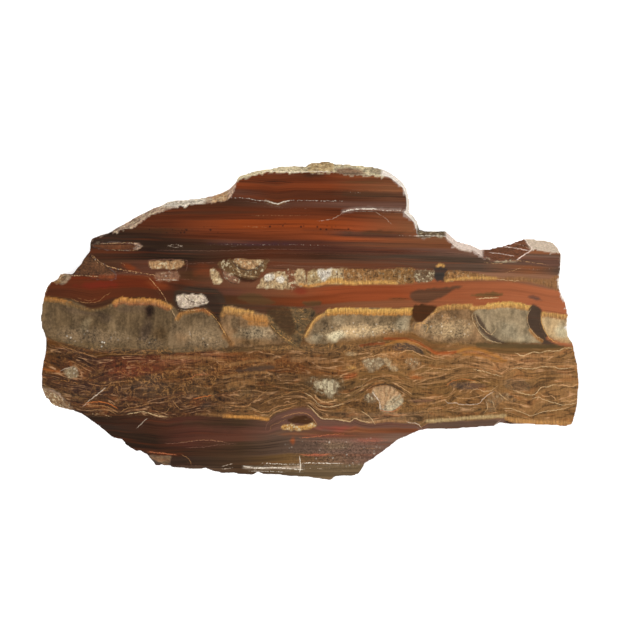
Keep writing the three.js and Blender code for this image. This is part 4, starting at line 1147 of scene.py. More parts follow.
class Canvas:
    """The points of the slab's skin, with the colour and grain that are painted on them.

    The beds wander most in the tiger eye, between its two rows of pixels. Broken rock begins where the
    skin lies a little below the polished face.
    """

    bed_waves = (Ripple(1.1, 26, 9, 3), Ripple(0.6, 9, 4, 4))
    edge_wave = Ripple(1.0, 3.1, 2.7, 7)
    fibre_wave = Ripple(2.2, 6, 6, 15)
    strip_teeth = Ripple(0.5, 2.3, 2.9, 8)
    fringe_teeth = Ripple(0.13, 1.8, 9, 8)
    cloud_wave = Ripple(0.25, 5, 3, 9)
    bites = (Ripple(1.5, 2.1, 2.1, 12), Ripple(1.3, 5.3, 5.3, 13))
    bite_depth = 0.9
    lively_rows = (330, 440)
    lively_fade = 20
    least_wander = 0.25
    rim_start = 0.05 * MM
    rim_depth = 0.3 * MM
    rim_stain = 0.25
    rim_rough = 0.85
    rim_mottle = 0.7

    def __init__(self, places: Array, brinks: list[Line]) -> None:
        """Starts with bare points.

        Args:
            places: the points in metres, one to a row.
            brinks: the edges of the polished face, each as its two ends in pixels.
        """
        self.brinks = brinks
        self.across, self.down = PHOTO.pixels(places)
        self.height = places[:, 2]
        self.count = len(places)
        self.colour = np.zeros((self.count, 3))
        self.grain = {name: np.zeros(self.count) for name in GRAIN_NAMES}
        self.level = self.unfold(self.across, self.down)

    def unfold(self, across: Array, down: Array) -> Array:
        """The level of each point in the unfolded stack of beds, as a pixel row."""
        wander = sum(wave.at(across, down) for wave in self.bed_waves)
        top, foot = self.lively_rows
        lively = np.clip((down - top) / self.lively_fade, self.least_wander, 1)
        lively *= np.clip((foot - down) / self.lively_fade, self.least_wander, 1)
        row = down + wander * lively
        rows = [np.full_like(across, TOP_LEVEL)] + [fold.height(across) for fold in FOLDS]
        rows.append(np.full_like(across, BOTTOM_LEVEL))
        levels = [TOP_LEVEL] + [fold.level for fold in FOLDS] + [BOTTOM_LEVEL]
        level = np.array(row)
        for upper, lower, high, low in zip(rows, rows[1:], levels, levels[1:]):
            share = (row - upper) / np.maximum(lower - upper, 0.5)
            inside = (share >= 0) & (share <= 1)
            level = np.where(inside, high + share * (low - high), level)
        return level

    def wash(self, mask: Array, light: Array | None, rock: Rock | None = None) -> None:
        """Lays one colour over the points, and its rock's grain where one is given.

        Args:
            mask: how much of each point it covers, from 0 to 1.
            light: the colour, or one for each point, in linear light, or None to leave the colour.
            rock: the kind of rock that the colour belongs to.
        """
        if light is not None:
            self.colour += mask[:, None] * (light - self.colour)
        if rock is None:
            return
        for name in GRAIN_NAMES:
            self.grain[name] += mask * (getattr(rock.value, name) - self.grain[name])

    def lay_beds(self) -> None:
        """Paints the stack of beds, each from its top level down."""
        for bed in BEDS:
            mask = np.clip((self.level - bed.top) / bed.blur + 0.5, 0, 1)
            self.wash(mask, bed.colour(self.across), bed.rock)

    def lay_patch(self, patch: Patch) -> None:
        """Paints one closed shape."""
        line = rounded(patch.line, True) if patch.round_off else patch.line
        wander = patch.wave * self.edge_wave.at(self.across, self.down)
        depth = depth_inside(line, self.across, self.down) + wander
        mask = patch.share * np.clip(depth / patch.soft + 0.5, 0, 1)
        self.wash(mask, patch.tint.light(), patch.rock)

    def lay_fan(self, fan: Fan) -> None:
        """Paints one fan of fibres."""
        inside = np.clip(depth_inside(rounded(fan.line, True), self.across, self.down) / 2 + 0.5, 0, 1)
        dx, dy = self.across - fan.foot[0], self.down - fan.foot[1]
        turn = np.arctan2(dy, dx) * fan.turns + self.fibre_wave.at(self.across, self.down)
        self.wash(fan.share * inside * np.clip(0.5 + 0.8 * np.cos(turn), 0, 1), fan.tint.light())

    def lay_strip(self, strip: Strip) -> None:
        """Paints one band along a line."""
        distance, _, _ = nearest(rounded(strip.line, False), self.across, self.down)
        teeth = self.strip_teeth.at(self.across, self.down)
        if strip.rock is Rock.FRINGE:
            teeth = strip.width * self.fringe_teeth.at(self.across, self.down)
        reach = strip.width / 2 - np.abs(distance) + teeth
        mask = strip.share * np.clip(reach / strip.soft + 0.5, 0, 1)
        light = strip.tint.light() if strip.tint else None
        if strip.foot is not None:
            fall = np.clip(0.5 - distance / strip.width, 0, 1)[:, None]
            light = light + fall * (strip.foot.light() - light)
        self.wash(mask, light, strip.rock)

    def lay_cloud(self, cloud: Cloud, limit: Array | float = 1.0) -> None:
        """Paints one soft patch of colour.

        Args:
            cloud: the patch.
            limit: how much of it each point may take, from 0 to 1.
        """
        turn = math.radians(cloud.turn)
        dx, dy = self.across - cloud.across, self.down - cloud.down
        u = (dx * math.cos(turn) + dy * math.sin(turn)) / cloud.half_length
        v = (dy * math.cos(turn) - dx * math.sin(turn)) / cloud.half_height
        wander = self.cloud_wave.at(self.across, self.down)
        reach = np.clip(1.25 - np.hypot(u, v) + wander, 0, 1)
        light = cloud.tint.light() if cloud.tint else None
        self.wash(limit * cloud.share * reach * reach * (3 - 2 * reach), light, cloud.rock)

    def paint(self) -> None:
        """Lays all that is drawn on the stone, from the beds up."""
        self.lay_beds()
        for cloud in CLOUDS:
            self.lay_cloud(cloud)
        for patch in QUARTZ:
            self.lay_patch(patch)
        self.lay_quartz_clouds()
        for strip in FRINGES:
            self.lay_strip(strip)
        for patch in DARKS + CREAMS:
            self.lay_patch(patch)
        for fan in FANS:
            self.lay_fan(fan)
        for strip in STRIPS:
            self.lay_strip(strip)
        self.lay_rim()

    def lay_rim(self) -> None:
        """Dulls the broken rim and paints the weathered rock on it; the pale rinds on the crown and right
        shoulder, where the rim faces up, also carry painted light.
        """
        _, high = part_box(NODE)
        broken = np.clip((high.z - self.height - self.rim_start) / self.rim_depth, 0, 1)
        self.wash(self.rim_stain * broken, Tint.BARK.light())
        for name in ("sparkle", "lamina", "curl"):
            self.grain[name] *= 1 - broken
        self.grain["rough"] += broken * (self.rim_rough - self.grain["rough"])
        self.grain["mottle"] += broken * (self.rim_mottle - self.grain["mottle"])
        ragged = self.bite_depth + sum(bite.at(self.across, self.down) for bite in self.bites)
        bitten = np.clip(ragged - self.brink_gap() + 0.5, 0, 1)
        for rind in RINDS:
            depth = depth_inside(rind.line, self.across, self.down)
            mask = rind.share * np.maximum(broken, rind.bite * bitten) * np.clip(depth / 3 + 0.5, 0, 1)
            self.wash(mask, rind.tint.light(), rind.rock)

    def brink_gap(self, reach: float = 5.0) -> Array:
        """How far each point lies from the polished face's edge, in pixels, up to a reach."""
        gap = np.full(self.count, reach)
        for (ax, ay), (bx, by) in self.brinks:
            near = np.abs(self.across - (ax + bx) / 2) < reach + abs(ax - bx) / 2
            near &= np.abs(self.down - (ay + by) / 2) < reach + abs(ay - by) / 2
            spots = np.flatnonzero(near)
            distance, _, _ = nearest(((ax, ay), (bx, by)), self.across[spots], self.down[spots])
            gap[spots] = np.minimum(gap[spots], np.abs(distance))
        return gap

    def lay_quartz_clouds(self) -> None:
        """Paints the cloudy places of the quartz, which end at its pods' edges."""
        inside = np.full(self.count, -9.0)
        for pod in QUARTZ:
            inside = np.maximum(inside, depth_inside(rounded(pod.line, True), self.across, self.down))
        for cloud in QUARTZ_CLOUDS:
            self.lay_cloud(cloud, np.clip(inside + 0.5, 0, 1))


def rounded(line: Line, closed: bool, steps: int = 4) -> Line:
    """A smooth curve through given points.

    Args:
        line: the points.
        closed: True where the last point joins the first.
        steps: pieces between two points.

    Returns:
        The curve's points, the given ones among them.
    """
    points = [np.array(point, float) for point in line]
    count = len(points)
    curve = []
    for i in range(count if closed else count - 1):
        if closed:
            a, b, c, d = (points[(i + k) % count] for k in (-1, 0, 1, 2))
        else:
            a, b, c, d = (points[min(max(i + k, 0), count - 1)] for k in (-1, 0, 1, 2))
        for step in range(steps):
            t = step / steps
            square, cube = 2 * a - 5 * b + 4 * c - d, 3 * b - a - 3 * c + d
            bend = (2 * b + (c - a) * t + square * t**2 + cube * t**3) / 2
            curve.append((float(bend[0]), float(bend[1])))
    if not closed:
        curve.append((float(points[-1][0]), float(points[-1][1])))
    return tuple(curve)


def nearest(line: Line, across: Array, down: Array) -> tuple[Array, Array, Array]:
    """How far each point lies from a line of points.

    Args:
        line: the line's points.
        across: pixel columns.
        down: pixel rows.

    Returns:
        The distance, positive on the line's right-hand side as it runs; the share of the line's length
        passed at the nearest place; and the same distance measured only past the line's ends.
    """
    best = np.full(across.shape, 1e9)
    signed = np.full(across.shape, 1e9)
    along = np.zeros(across.shape)
    beyond = np.zeros(across.shape)
    lengths = [math.dist(a, b) for a, b in zip(line, line[1:])]
    total = max(sum(lengths), 1e-6)
    passed = 0.0
    for (ax, ay), (bx, by), length in zip(line, line[1:], lengths):
        if length < 1e-9:
            continue
        ux, uy = (bx - ax) / length, (by - ay) / length
        px, py = across - ax, down - ay
        run = px * ux + py * uy
        held = np.clip(run, 0, length)
        side = px * uy - py * ux
        gap = np.hypot(px - held * ux, py - held * uy)
        closer = gap < best
        best = np.where(closer, gap, best)
        signed = np.where(closer, np.where(side < 0, -1.0, 1.0) * gap, signed)
        along = np.where(closer, (passed + held) / total, along)
        beyond = np.where(closer, np.abs(run - held), beyond)
        passed += length
    return signed, along, beyond


def depth_inside(line: Line, across: Array, down: Array) -> Array:
    """How deep each point lies inside a closed line, in pixels, and negative outside it."""
    closed = tuple(line) + (line[0],)
    distance, _, _ = nearest(closed, across, down)
    inside = np.zeros(across.shape, bool)
    for (ax, ay), (bx, by) in zip(closed, closed[1:]):
        if ay == by:
            continue
        crosses = (ay > down) != (by > down)
        inside ^= crosses & (across < ax + (down - ay) * (bx - ax) / (by - ay))
    return np.where(inside, 1, -1) * np.abs(distance)


@dataclass
class VeinSheet:
    """Veins that lie far enough apart to share one pair of attributes.

    Args:
        name: the attributes' name.
        reach: how far from a vein its distance is kept, in pixels.
        taper: how steeply a vein grows from its two ends, by its share of the length.
        blunt: how much of it there is at the very end.
        overshoot: how far it runs on past its ends, in pixels.
        fade: how softly it is let go at its reach, in pixels.
        veins: the veins on the sheet.
        points: the points along them, in pixels.
    """

    name: str
    reach: float = 3.2
    taper: float = 6.0
    blunt: float = 0.45
    overshoot: float = 1.4
    fade: float = 1.2
    veins: list[Vein] = field(default_factory=list)
    points: list[Point] = field(default_factory=list)

    def has_room(self, vein: Vein) -> bool:
        """True if the vein keeps clear of those already on the sheet."""
        curve = rounded(vein.line, False)
        return all(math.dist(a, b) > 2 * self.reach for a in curve for b in self.points)

    def take(self, vein: Vein) -> None:
        """Adds a vein to the sheet."""
        self.veins.append(vein)
        self.points.extend(rounded(vein.line, False))

    def measure(self, canvas: Canvas) -> tuple[Array, Array]:
        """Measures the veins at the canvas's points.

        Args:
            canvas: the painted points.

        Returns:
            Rows of signed distance in millimetres, share and break-up; and rows of colour with half the
            width in millimetres.
        """
        to_mm = PHOTO.scale() / MM
        lines = np.zeros((canvas.count, 3))
        lines[:, 0] = self.reach * to_mm
        inks = np.zeros((canvas.count, 4))
        closest = np.full(canvas.count, self.reach)
        for vein in self.veins:
            curve = rounded(vein.line, False)
            columns, rows = zip(*curve)
            near = (canvas.across > min(columns) - self.reach) & (canvas.across < max(columns) + self.reach)
            near &= (canvas.down > min(rows) - self.reach) & (canvas.down < max(rows) + self.reach)
            spots = np.flatnonzero(near)
            if not len(spots):
                continue
            distance, along, beyond = nearest(curve, canvas.across[spots], canvas.down[spots])
            closer = np.abs(distance) < closest[spots]
            spots, distance, along, beyond = spots[closer], distance[closer], along[closer], beyond[closer]
            closest[spots] = np.abs(distance)
            ends = np.clip(np.minimum(along, 1 - along) * self.taper + self.blunt, 0, 1)
            ends *= np.clip(self.overshoot - beyond, 0, 1)
            fade = np.clip((self.reach - np.abs(distance)) / self.fade, 0, 1)
            lines[spots, 0] = distance * to_mm
            lines[spots, 1] = vein.share * ends * fade
            lines[spots, 2] = vein.broken
            inks[spots, :3] = vein.tint.light()
            inks[spots, 3] = vein.width / 2 * to_mm
        return lines, inks


def sort_veins() -> list[VeinSheet]:
    """Deals the veins out to as few sheets as keep them apart."""
    sheets: list[VeinSheet] = []
    for vein in VEINS:
        for sheet in sheets:
            if sheet.has_room(vein):
                break
        else:
            sheet = VeinSheet(f"veins_{len(sheets)}")
            sheets.append(sheet)
        sheet.take(vein)
    return sheets


def deselect_all() -> None:
    """Clears the selection, because an operator acts on all that is selected."""
    bpy.ops.object.select_all(action="DESELECT")


def activate(piece: bpy.types.Object) -> None:
    """Selects one object alone and makes it the active one."""
    deselect_all()
    piece.select_set(True)
    bpy.context.view_layer.objects.active = piece


@dataclass
class SlabSkin:
    """The slab's fine skin, made from its solid.

    Args:
        cell: the side of the skin's small squares, in metres.
        back_share: how much of the flat back's mesh is kept.
        flat_band: how near to a sawn face a point counts as on it, in metres.
        weld: how near two points have to lie to be one, in metres.
        rim_depth: how far below a sawn face the rim is rough to the full, in metres.
        lumps: the size and strength of the rim's lumps, in metres.
        crumbs: the same of its crumbs.
        middle: the shade of those patterns that leaves the rim where it is.
        smooth_angle: the edges flatter than this look smooth, in degrees.
        sheets: the veins on the stone, once it is painted.
        brinks: the edges of the polished face, each as its two ends in pixels.
    """

    cell: float = 0.53 * MM
    back_share: float = 0.05
    flat_band: float = 0.14 * MM
    weld: float = 0.001 * MM
    rim_depth: float = 0.7 * MM
    lumps: tuple[float, float] = (3.4 * MM, 0.9 * MM)
    crumbs: tuple[float, float] = (1.1 * MM, 0.45 * MM)
    middle: float = 0.55
    smooth_angle: float = 35.0
    sheets: list[VeinSheet] = field(default_factory=list)
    brinks: list[Line] = field(default_factory=list)

    def copy_solid(self) -> bpy.types.Object:
        """Copies the slab's node, joins its loose triangles and makes an even mesh of it."""
        activate(frame["nodes"][NODE])
        bpy.ops.object.duplicate()
        piece = bpy.context.view_layer.objects.active
        piece.name = piece.data.name = PIECE
        activate(piece)
        bpy.ops.object.parent_clear(type="CLEAR_KEEP_TRANSFORM")
        for key in list(piece.keys()):
            del piece[key]
        bpy.ops.object.mode_set(mode="EDIT")
        bpy.ops.mesh.select_all(action="SELECT")
        bpy.ops.mesh.remove_doubles(threshold=self.weld)
        bpy.ops.object.mode_set(mode="OBJECT")
        self.brinks = self.face_edges(piece)
        remesh = piece.modifiers.new("even_mesh", "REMESH")
        remesh.mode = "VOXEL"
        remesh.voxel_size = self.cell
        bpy.ops.object.modifier_apply(modifier=remesh.name)
        return piece

    def face_edges(self, piece: bpy.types.Object) -> list[Line]:
        """The edges that bound the polished face, each as its two ends in pixels."""
        places = points_of(piece)
        _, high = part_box(NODE)
        on_top = places[:, 2] > high.z - self.weld
        uses: dict[tuple[int, int], int] = {}
        for face in piece.data.polygons:
            if all(on_top[corner] for corner in face.vertices):
                for key in face.edge_keys:
                    uses[key] = uses.get(key, 0) + 1
        across, down = PHOTO.pixels(places)
        spots = [(float(a), float(d)) for a, d in zip(across, down)]
        return [(spots[a], spots[b]) for (a, b), count in uses.items() if count == 1]

    def flatten(self, piece: bpy.types.Object) -> None:
        """Puts the points of the two sawn faces on their planes."""
        places = points_of(piece)
        low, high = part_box(NODE)
        top = places[:, 2] > high.z - self.flat_band
        bottom = places[:, 2] < low.z + self.flat_band
        places[top, 2] = high.z
        places[bottom, 2] = low.z
        piece.data.vertices.foreach_set("co", places.ravel())
        piece.data.update()

    def thin_back(self, piece: bpy.types.Object) -> None:
        """Thins the mesh of the flat back, which needs fewer points."""
        low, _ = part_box(NODE)
        bpy.ops.object.mode_set(mode="EDIT")
        bpy.ops.mesh.select_mode(type="VERT")
        bpy.ops.mesh.select_all(action="DESELECT")
        bpy.ops.object.mode_set(mode="OBJECT")
        on_back = points_of(piece)[:, 2] <= low.z + 1e-7
        piece.data.vertices.foreach_set("select", on_back)
        bpy.ops.object.mode_set(mode="EDIT")
        bpy.ops.mesh.select_less()
        bpy.ops.mesh.select_less()
        bpy.ops.mesh.decimate(ratio=self.back_share)
        bpy.ops.mesh.select_all(action="SELECT")
        bpy.ops.mesh.quads_convert_to_tris()
        bpy.ops.object.mode_set(mode="OBJECT")

    def rim_share(self, piece: bpy.types.Object) -> Array:
        """How far each point belongs to the broken rim, from 0 on the sawn faces to 1."""
        low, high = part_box(NODE)
        height = points_of(piece)[:, 2]
        middle, half = (high.z + low.z) / 2, (high.z - low.z) / 2
        return np.clip((half - np.abs(height - middle)) / self.rim_depth, 0, 1)

    def roughen(self, piece: bpy.types.Object) -> None:
        """Makes the rim lumpy and crumbly, and leaves the sawn faces flat."""
        share = self.rim_share(piece)
        group = piece.vertex_groups.new(name="rim")
        steps = 10
        for step in range(1, steps + 1):
            chosen = np.flatnonzero(np.round(share * steps) == step)
            group.add([int(i) for i in chosen], step / steps, "REPLACE")
        for name, (size, strength) in (("lumps", self.lumps), ("crumbs", self.crumbs)):
            pattern = bpy.data.textures.new(name, "CLOUDS")
            pattern.noise_scale = size
            pattern.noise_depth = 3
            bumps = piece.modifiers.new(name, "DISPLACE")
            bumps.texture = pattern
            bumps.texture_coords = "LOCAL"
            bumps.direction = "NORMAL"
            bumps.mid_level = self.middle
            bumps.strength = strength
            bumps.vertex_group = "rim"
            bpy.ops.object.modifier_apply(modifier=bumps.name)
        piece.vertex_groups.clear()

    def paint(self, piece: bpy.types.Object) -> None:
        """Paints the stone and stores the result on the mesh's points."""
        canvas = Canvas(points_of(piece), self.brinks)
        canvas.paint()
        store(piece, "tint", "FLOAT_COLOR", np.c_[canvas.colour, np.ones(canvas.count)])
        store(piece, "level", "FLOAT", canvas.level * PHOTO.scale() / MM)
        store(piece, "rim", "FLOAT", self.rim_share(piece))
        for name in GRAIN_NAMES:
            store(piece, name, "FLOAT", canvas.grain[name])
        self.sheets = sort_veins()
        for sheet in self.sheets:
            lines, inks = sheet.measure(canvas)
            store(piece, sheet.name, "FLOAT_VECTOR", lines)
            store(piece, f"{sheet.name}_ink", "FLOAT_COLOR", inks)

    def build(self) -> bpy.types.Object:
        """Makes the skin and paints it.

        Returns:
            The finished mesh object, with no material yet.
        """
        piece = self.copy_solid()
        self.flatten(piece)
        self.thin_back(piece)
        self.roughen(piece)
        self.paint(piece)
        activate(piece)
        bpy.ops.object.shade_smooth_by_angle(angle=math.radians(self.smooth_angle))
        return piece


def points_of(piece: bpy.types.Object) -> Array:
    """The points of a mesh in metres, one to a row."""
    places = np.zeros(len(piece.data.vertices) * 3, np.float32)
    piece.data.vertices.foreach_get("co", places)
    return places.reshape(-1, 3).astype(float)


def store(piece: bpy.types.Object, name: str, kind: str, values: Array) -> None:
    """Keeps one value for each point of a mesh under a name.

    Args:
        piece: the mesh object.
        name: the attribute's name.
        kind: Blender's name for the kind of value.
        values: the values, one row to a point.
    """
    made = piece.data.attributes.new(name, kind, "POINT")
    prop = {"FLOAT": "value", "FLOAT_VECTOR": "vector", "FLOAT_COLOR": "color"}[kind]
    made.data.foreach_set(prop, np.asarray(values, np.float32).ravel())


Socket = bpy.types.NodeSocket
Value = Socket | float


class Graph:
    """A material's nodes, with short calls to add and join them."""

    def __init__(self, name: str) -> None:
        """Starts an empty material.

        Args:
            name: the material's name.
        """
        self.material = bpy.data.materials.new(name)
        self.material.use_nodes = True
        self.tree = self.material.node_tree
        self.tree.nodes.clear()

    def add(self, kind: str) -> bpy.types.Node:
        """Adds one node."""
        return self.tree.nodes.new(kind)

    def feed(self, socket: Socket, value: object) -> None:
        """Joins a value or another node's output to an input."""
        if isinstance(value, bpy.types.NodeSocket):
            self.tree.links.new(value, socket)
        else:
            socket.default_value = value

    def attribute(self, name: str, output: str = "Fac") -> Socket:
        """A value that is kept on the mesh's points."""
        node = self.add("ShaderNodeAttribute")
        node.attribute_name = name
        return node.outputs[output]

    def math(self, operation: str, a: Value, b: Value = 0.0, c: Value = 0.0, clamp: bool = False) -> Socket:
        """One step of arithmetic."""
        node = self.add("ShaderNodeMath")
        node.operation = operation
        node.use_clamp = clamp
        for socket, value in zip(node.inputs, (a, b, c)):
            self.feed(socket, value)
        return node.outputs[0]

    def span(self, value: Value, low: Value, high: Value, to_low: float = 0, to_high: float = 1) -> Socket:
        """Maps a range smoothly to another and holds it at the ends."""
        node = self.add("ShaderNodeMapRange")
        node.interpolation_type = "SMOOTHSTEP"
        names = ("Value", "From Min", "From Max", "To Min", "To Max")
        for name, given in zip(names, (value, low, high, to_low, to_high)):
            self.feed(node.inputs[name], given)
        return node.outputs["Result"]

    def scale(self, vector: Socket, factor: Value) -> Socket:
        """A vector or colour times one value."""
        node = self.add("ShaderNodeVectorMath")
        node.operation = "SCALE"
        self.feed(node.inputs[0], vector)
        self.feed(node.inputs["Scale"], factor)
        return node.outputs[0]

    def mix(self, share: Value, a: object, b: object) -> Socket:
        """Mixes two colours."""
        node = self.add("ShaderNodeMix")
        node.data_type = "RGBA"
        self.feed(node.inputs["Factor"], share)
        for name, colour in (("A", a), ("B", b)):
            socket = [s for s in node.inputs if s.name == name and s.type == "RGBA"][0]
            self.feed(socket, colour if isinstance(colour, bpy.types.NodeSocket) else (*colour, 1.0))
        return [s for s in node.outputs if s.type == "RGBA"][0]

    def combine(self, x: Value, y: Value, z: Value = 0.0) -> Socket:
        """A vector of three values."""
        node = self.add("ShaderNodeCombineXYZ")
        for socket, value in zip(node.inputs, (x, y, z)):
            self.feed(socket, value)
        return node.outputs[0]

    def split(self, vector: Socket) -> tuple[Socket, Socket, Socket]:
        """The three values of a vector."""
        node = self.add("ShaderNodeSeparateXYZ")
        self.feed(node.inputs[0], vector)
        return node.outputs[0], node.outputs[1], node.outputs[2]

    def noise(self, place: Socket, detail: float = 3.0, rough: float = 0.55, bend: float = 0.0) -> Socket:
        """Noise from 0 to 1, with cells one unit wide."""
        node = self.add("ShaderNodeTexNoise")
        self.feed(node.inputs["Vector"], place)
        self.feed(node.inputs["Scale"], 1.0)
        self.feed(node.inputs["Detail"], detail)
        self.feed(node.inputs["Roughness"], rough)
        self.feed(node.inputs["Distortion"], bend)
        return node.outputs["Fac"]

    def cells(self, place: Socket, feature: str = "F1") -> bpy.types.Node:
        """A pattern of cells, one unit wide."""
        node = self.add("ShaderNodeTexVoronoi")
        node.feature = feature
        self.feed(node.inputs["Vector"], place)
        self.feed(node.inputs["Scale"], 1.0)
        return node


@dataclass(frozen=True)
class Pattern:
    """A fine pattern of noise or cells in the stone.

    Args:
        rates: how many of its cells go into a millimetre along x, along y or the beds' level, and along z.
        shift: moves it, so that no two patterns lie alike.
        detail: how many finer layers its noise has.
        rough: how strong the finer layers are.
        bend: how far the noise is bent.
        along_beds: True where it follows the beds in place of y.
    """

    rates: tuple[float, float, float]
    shift: float = 0.0
    detail: float = 3.0
    rough: float = 0.6
    bend: float = 0.0
    along_beds: bool = False


class Figure(Enum):
    """The fine patterns that the stone shows."""

    BANDS = Pattern((0.011, 0.62, 0.3), 0.0, 5.0, 0.68, 0.0, True)
    HAIRS = Pattern((0.022, 1.7, 0.3), 7.0, 3.0, 0.6, 0.0, True)
    MOODS = Pattern((0.014, 0.5, 0.3), 41.0, 3.0, 0.6, 0.0, True)
    BLOTCHES = Pattern((0.09, 0.3, 0.3), 13.0, 3.0, 0.6, 0.4, True)
    RELIEF = Pattern((0.04, 0.26, 0.3), 3.0, 3.0, 0.55, 0.35, True)
    STRENGTH = Pattern((0.12, 0.3, 0.3), 17.0, 2.0)
    KNOTS = Pattern((0.27, 0.38, 0.3), 5.0, 3.0, 0.55, 1.0)
    GRIT = Pattern((1.0, 1.1, 1.0), 21.0, 3.0, 0.8)
    FIBRES = Pattern((1.7, 0.25, 0.6), 2.0, 3.0, 0.6, 0.3)
    CLOUDINESS = Pattern((0.13, 0.11, 0.3), 1.0, 3.0, 0.5, 0.5)
    VEILS = Pattern((0.34, 0.07, 0.3), 31.0, 3.0, 0.6, 0.4)
    GRAINS = Pattern((0.8, 0.6, 0.6), 47.0, 3.0, 0.7)
    CRYSTALS = Pattern((1.0, 1.05, 0.9), 9.0)
    FLECKS = Pattern((0.55, 0.4, 1.0), 14.0, 4.0, 0.7)
    CLEFTS = Pattern((0.62, 0.13, 0.3), 51.0, 3.0, 0.65)
    POINTS = Pattern((0.72, 0.72, 0.72), 4.0)
    WOBBLE = Pattern((0.9, 0.9, 0.9), 6.0, 2.0, 0.5)
    DOTS = Pattern((1.3, 1.3, 1.3), 8.0, 3.0, 0.75)
    CRUMBS = Pattern((1.1, 1.1, 1.1), 2.0, 4.0, 0.7)


class GrainPainter:
    """Draws the stone's fine grain into a material, one pattern over another.

    A pattern passes from nothing to all between the two noise values that its span gives.
    """

    spread = (0.34, 0.66, -0.5, 0.5)
    darkest = 0.12

    def __init__(self, graph: Graph) -> None:
        """Starts from the colours that are painted on the points.

        Args:
            graph: the material's nodes.
        """
        self.graph = graph
        coordinates = graph.add("ShaderNodeTexCoord")
        self.x, self.y, self.z = graph.split(graph.scale(coordinates.outputs["Object"], 1 / MM))
        self.level = graph.attribute("level")
        self.colour = graph.attribute("tint", "Color")
        self.bright: Value = 0.0
        self.strength = graph.span(self.draw(Figure.STRENGTH), 0.4, 0.6)

    def place(self, figure: Figure) -> Socket:
        """Where the stone's points lie among a pattern's cells."""
        pattern = figure.value
        places = (self.x, self.level if pattern.along_beds else self.y, self.z)
        math_node, shift = self.graph.math, pattern.shift
        parts = [math_node("MULTIPLY_ADD", at, rate, shift) for at, rate in zip(places, pattern.rates)]
        return self.graph.combine(*parts)

    def draw(self, figure: Figure) -> Socket:
        """One of the noise patterns, from 0 to 1."""
        pattern = figure.value
        return self.graph.noise(self.place(figure), pattern.detail, pattern.rough, pattern.bend)

    def rings(self, figure: Figure, count: float) -> Socket:
        """Contour lines of a noise pattern, from 0 between two of them to 1 on one."""
        hills = self.graph.math("MULTIPLY", self.draw(figure), count)
        return self.graph.math("PINGPONG", hills, 1.0)

    def weight(self, grain: str, pattern: Socket, strength: float) -> Socket:
        """A pattern times the grain that is painted on the points."""
        painted = self.graph.math("MULTIPLY", pattern, self.graph.attribute(grain))
        return self.graph.math("MULTIPLY", painted, strength)

    def shade(self, grain: str, pattern: Socket, strength: float) -> None:
        """Lightens the stone by a pattern, or darkens it where the strength is below 0."""
        self.bright = self.graph.math("ADD", self.bright, self.weight(grain, pattern, strength))

    def tinge(self, grain: str, pattern: Socket, strength: float, tint: Tint) -> None:
        """Mixes a tint into the stone by a pattern."""
        self.colour = self.graph.mix(self.weight(grain, pattern, strength), self.colour, tint.light())

    def streaks(self) -> None:
        """Draws the long streaks of the jasper, dull ones and vivid ones."""
        graph = self.graph
        bands = graph.span(self.draw(Figure.BANDS), *self.spread)
        hairs = graph.span(self.draw(Figure.HAIRS), 0.42, 0.34)
        self.shade("streak", graph.math("SUBTRACT", bands, hairs), 0.46)
        moods = self.draw(Figure.MOODS)
        self.tinge("streak", graph.span(moods, 0.46, 0.34), 0.3, Tint.PEAT)
        self.tinge("streak", graph.span(moods, 0.54, 0.66), 0.22, Tint.EMBER)

    def laminae(self) -> None:
        """Draws the thin pale and dark lines of the tiger eye."""
        graph = self.graph
        blotches = self.draw(Figure.BLOTCHES)
        self.tinge("lamina", graph.span(blotches, 0.52, 0.66), 0.22, Tint.FLAME)
        self.tinge("lamina", graph.span(blotches, 0.48, 0.36), 0.4, Tint.UMBER)
        rings = self.rings(Figure.RELIEF, 13.0)
        pale = graph.math("MULTIPLY", graph.span(rings, 0.72, 0.98), self.strength)
        self.shade("lamina", pale, 0.25)
        self.shade("lamina", graph.span(rings, 0.36, 0.04), -0.5)
        self.tinge("lamina", pale, 0.55, Tint.THREAD)

    def curls(self) -> None:
        """Draws the curled threads and the dark hollows between them."""
        graph = self.graph
        loops = self.rings(Figure.KNOTS, 6.0)
        fading = graph.span(self.strength, 1.0, 0.2, 0.3, 1.0)
        thread = graph.math("MULTIPLY", graph.span(loops, 0.72, 0.97), fading)
        self.shade("curl", graph.span(loops, 0.34, 0.06), -0.45)
        self.shade("curl", thread, 0.2)
        self.tinge("curl", thread, 0.42, Tint.WHEAT)

    def grains(self) -> None:
        """Draws the sandy grains, and the fibres that stand across the beds."""
        grit = self.graph.span(self.draw(Figure.GRIT), *self.spread)
        self.shade("lamina", grit, 0.25)
        self.shade("grit", grit, 0.85)
        self.shade("fibre", self.graph.span(self.draw(Figure.FIBRES), *self.spread), 0.8)

    def milk(self) -> None:
        """Draws the cloudiness of the quartz."""
        graph = self.graph
        milky = graph.span(self.draw(Figure.CLOUDINESS), 0.36, 0.64, -0.28, 0.28)
        milky = graph.math("ADD", milky, graph.span(self.draw(Figure.VEILS), 0.4, 0.7, -0.14, 0.36))
        milky = graph.math("ADD", milky, graph.span(self.draw(Figure.GRAINS), 0.42, 0.7, -0.1, 0.32))
        self.shade("mottle", milky, 0.95)

    def crust(self) -> None:
        """Draws crystals with dark gaps between them and pale caps on the high ones."""
        graph = self.graph
        place = self.place(Figure.CRYSTALS)
        height = graph.split(graph.cells(place).outputs["Color"])[0]
        lit = graph.math("MULTIPLY_ADD", height, 0.4, graph.math("MULTIPLY", self.draw(Figure.FLECKS), 1.3))
        joints = graph.span(graph.cells(place, "DISTANCE_TO_EDGE").outputs["Distance"], 0.06, 0.0)
        clefts = graph.span(self.draw(Figure.CLEFTS), 0.45, 0.37)
        gaps = graph.math("MAXIMUM", graph.math("MAXIMUM", graph.span(lit, 0.78, 0.58), joints), clefts)
        self.tinge("crust", gaps, 0.75, Tint.UMBER)
        self.tinge("crust", graph.span(lit, 0.92, 1.1), 0.75, Tint.IVORY)

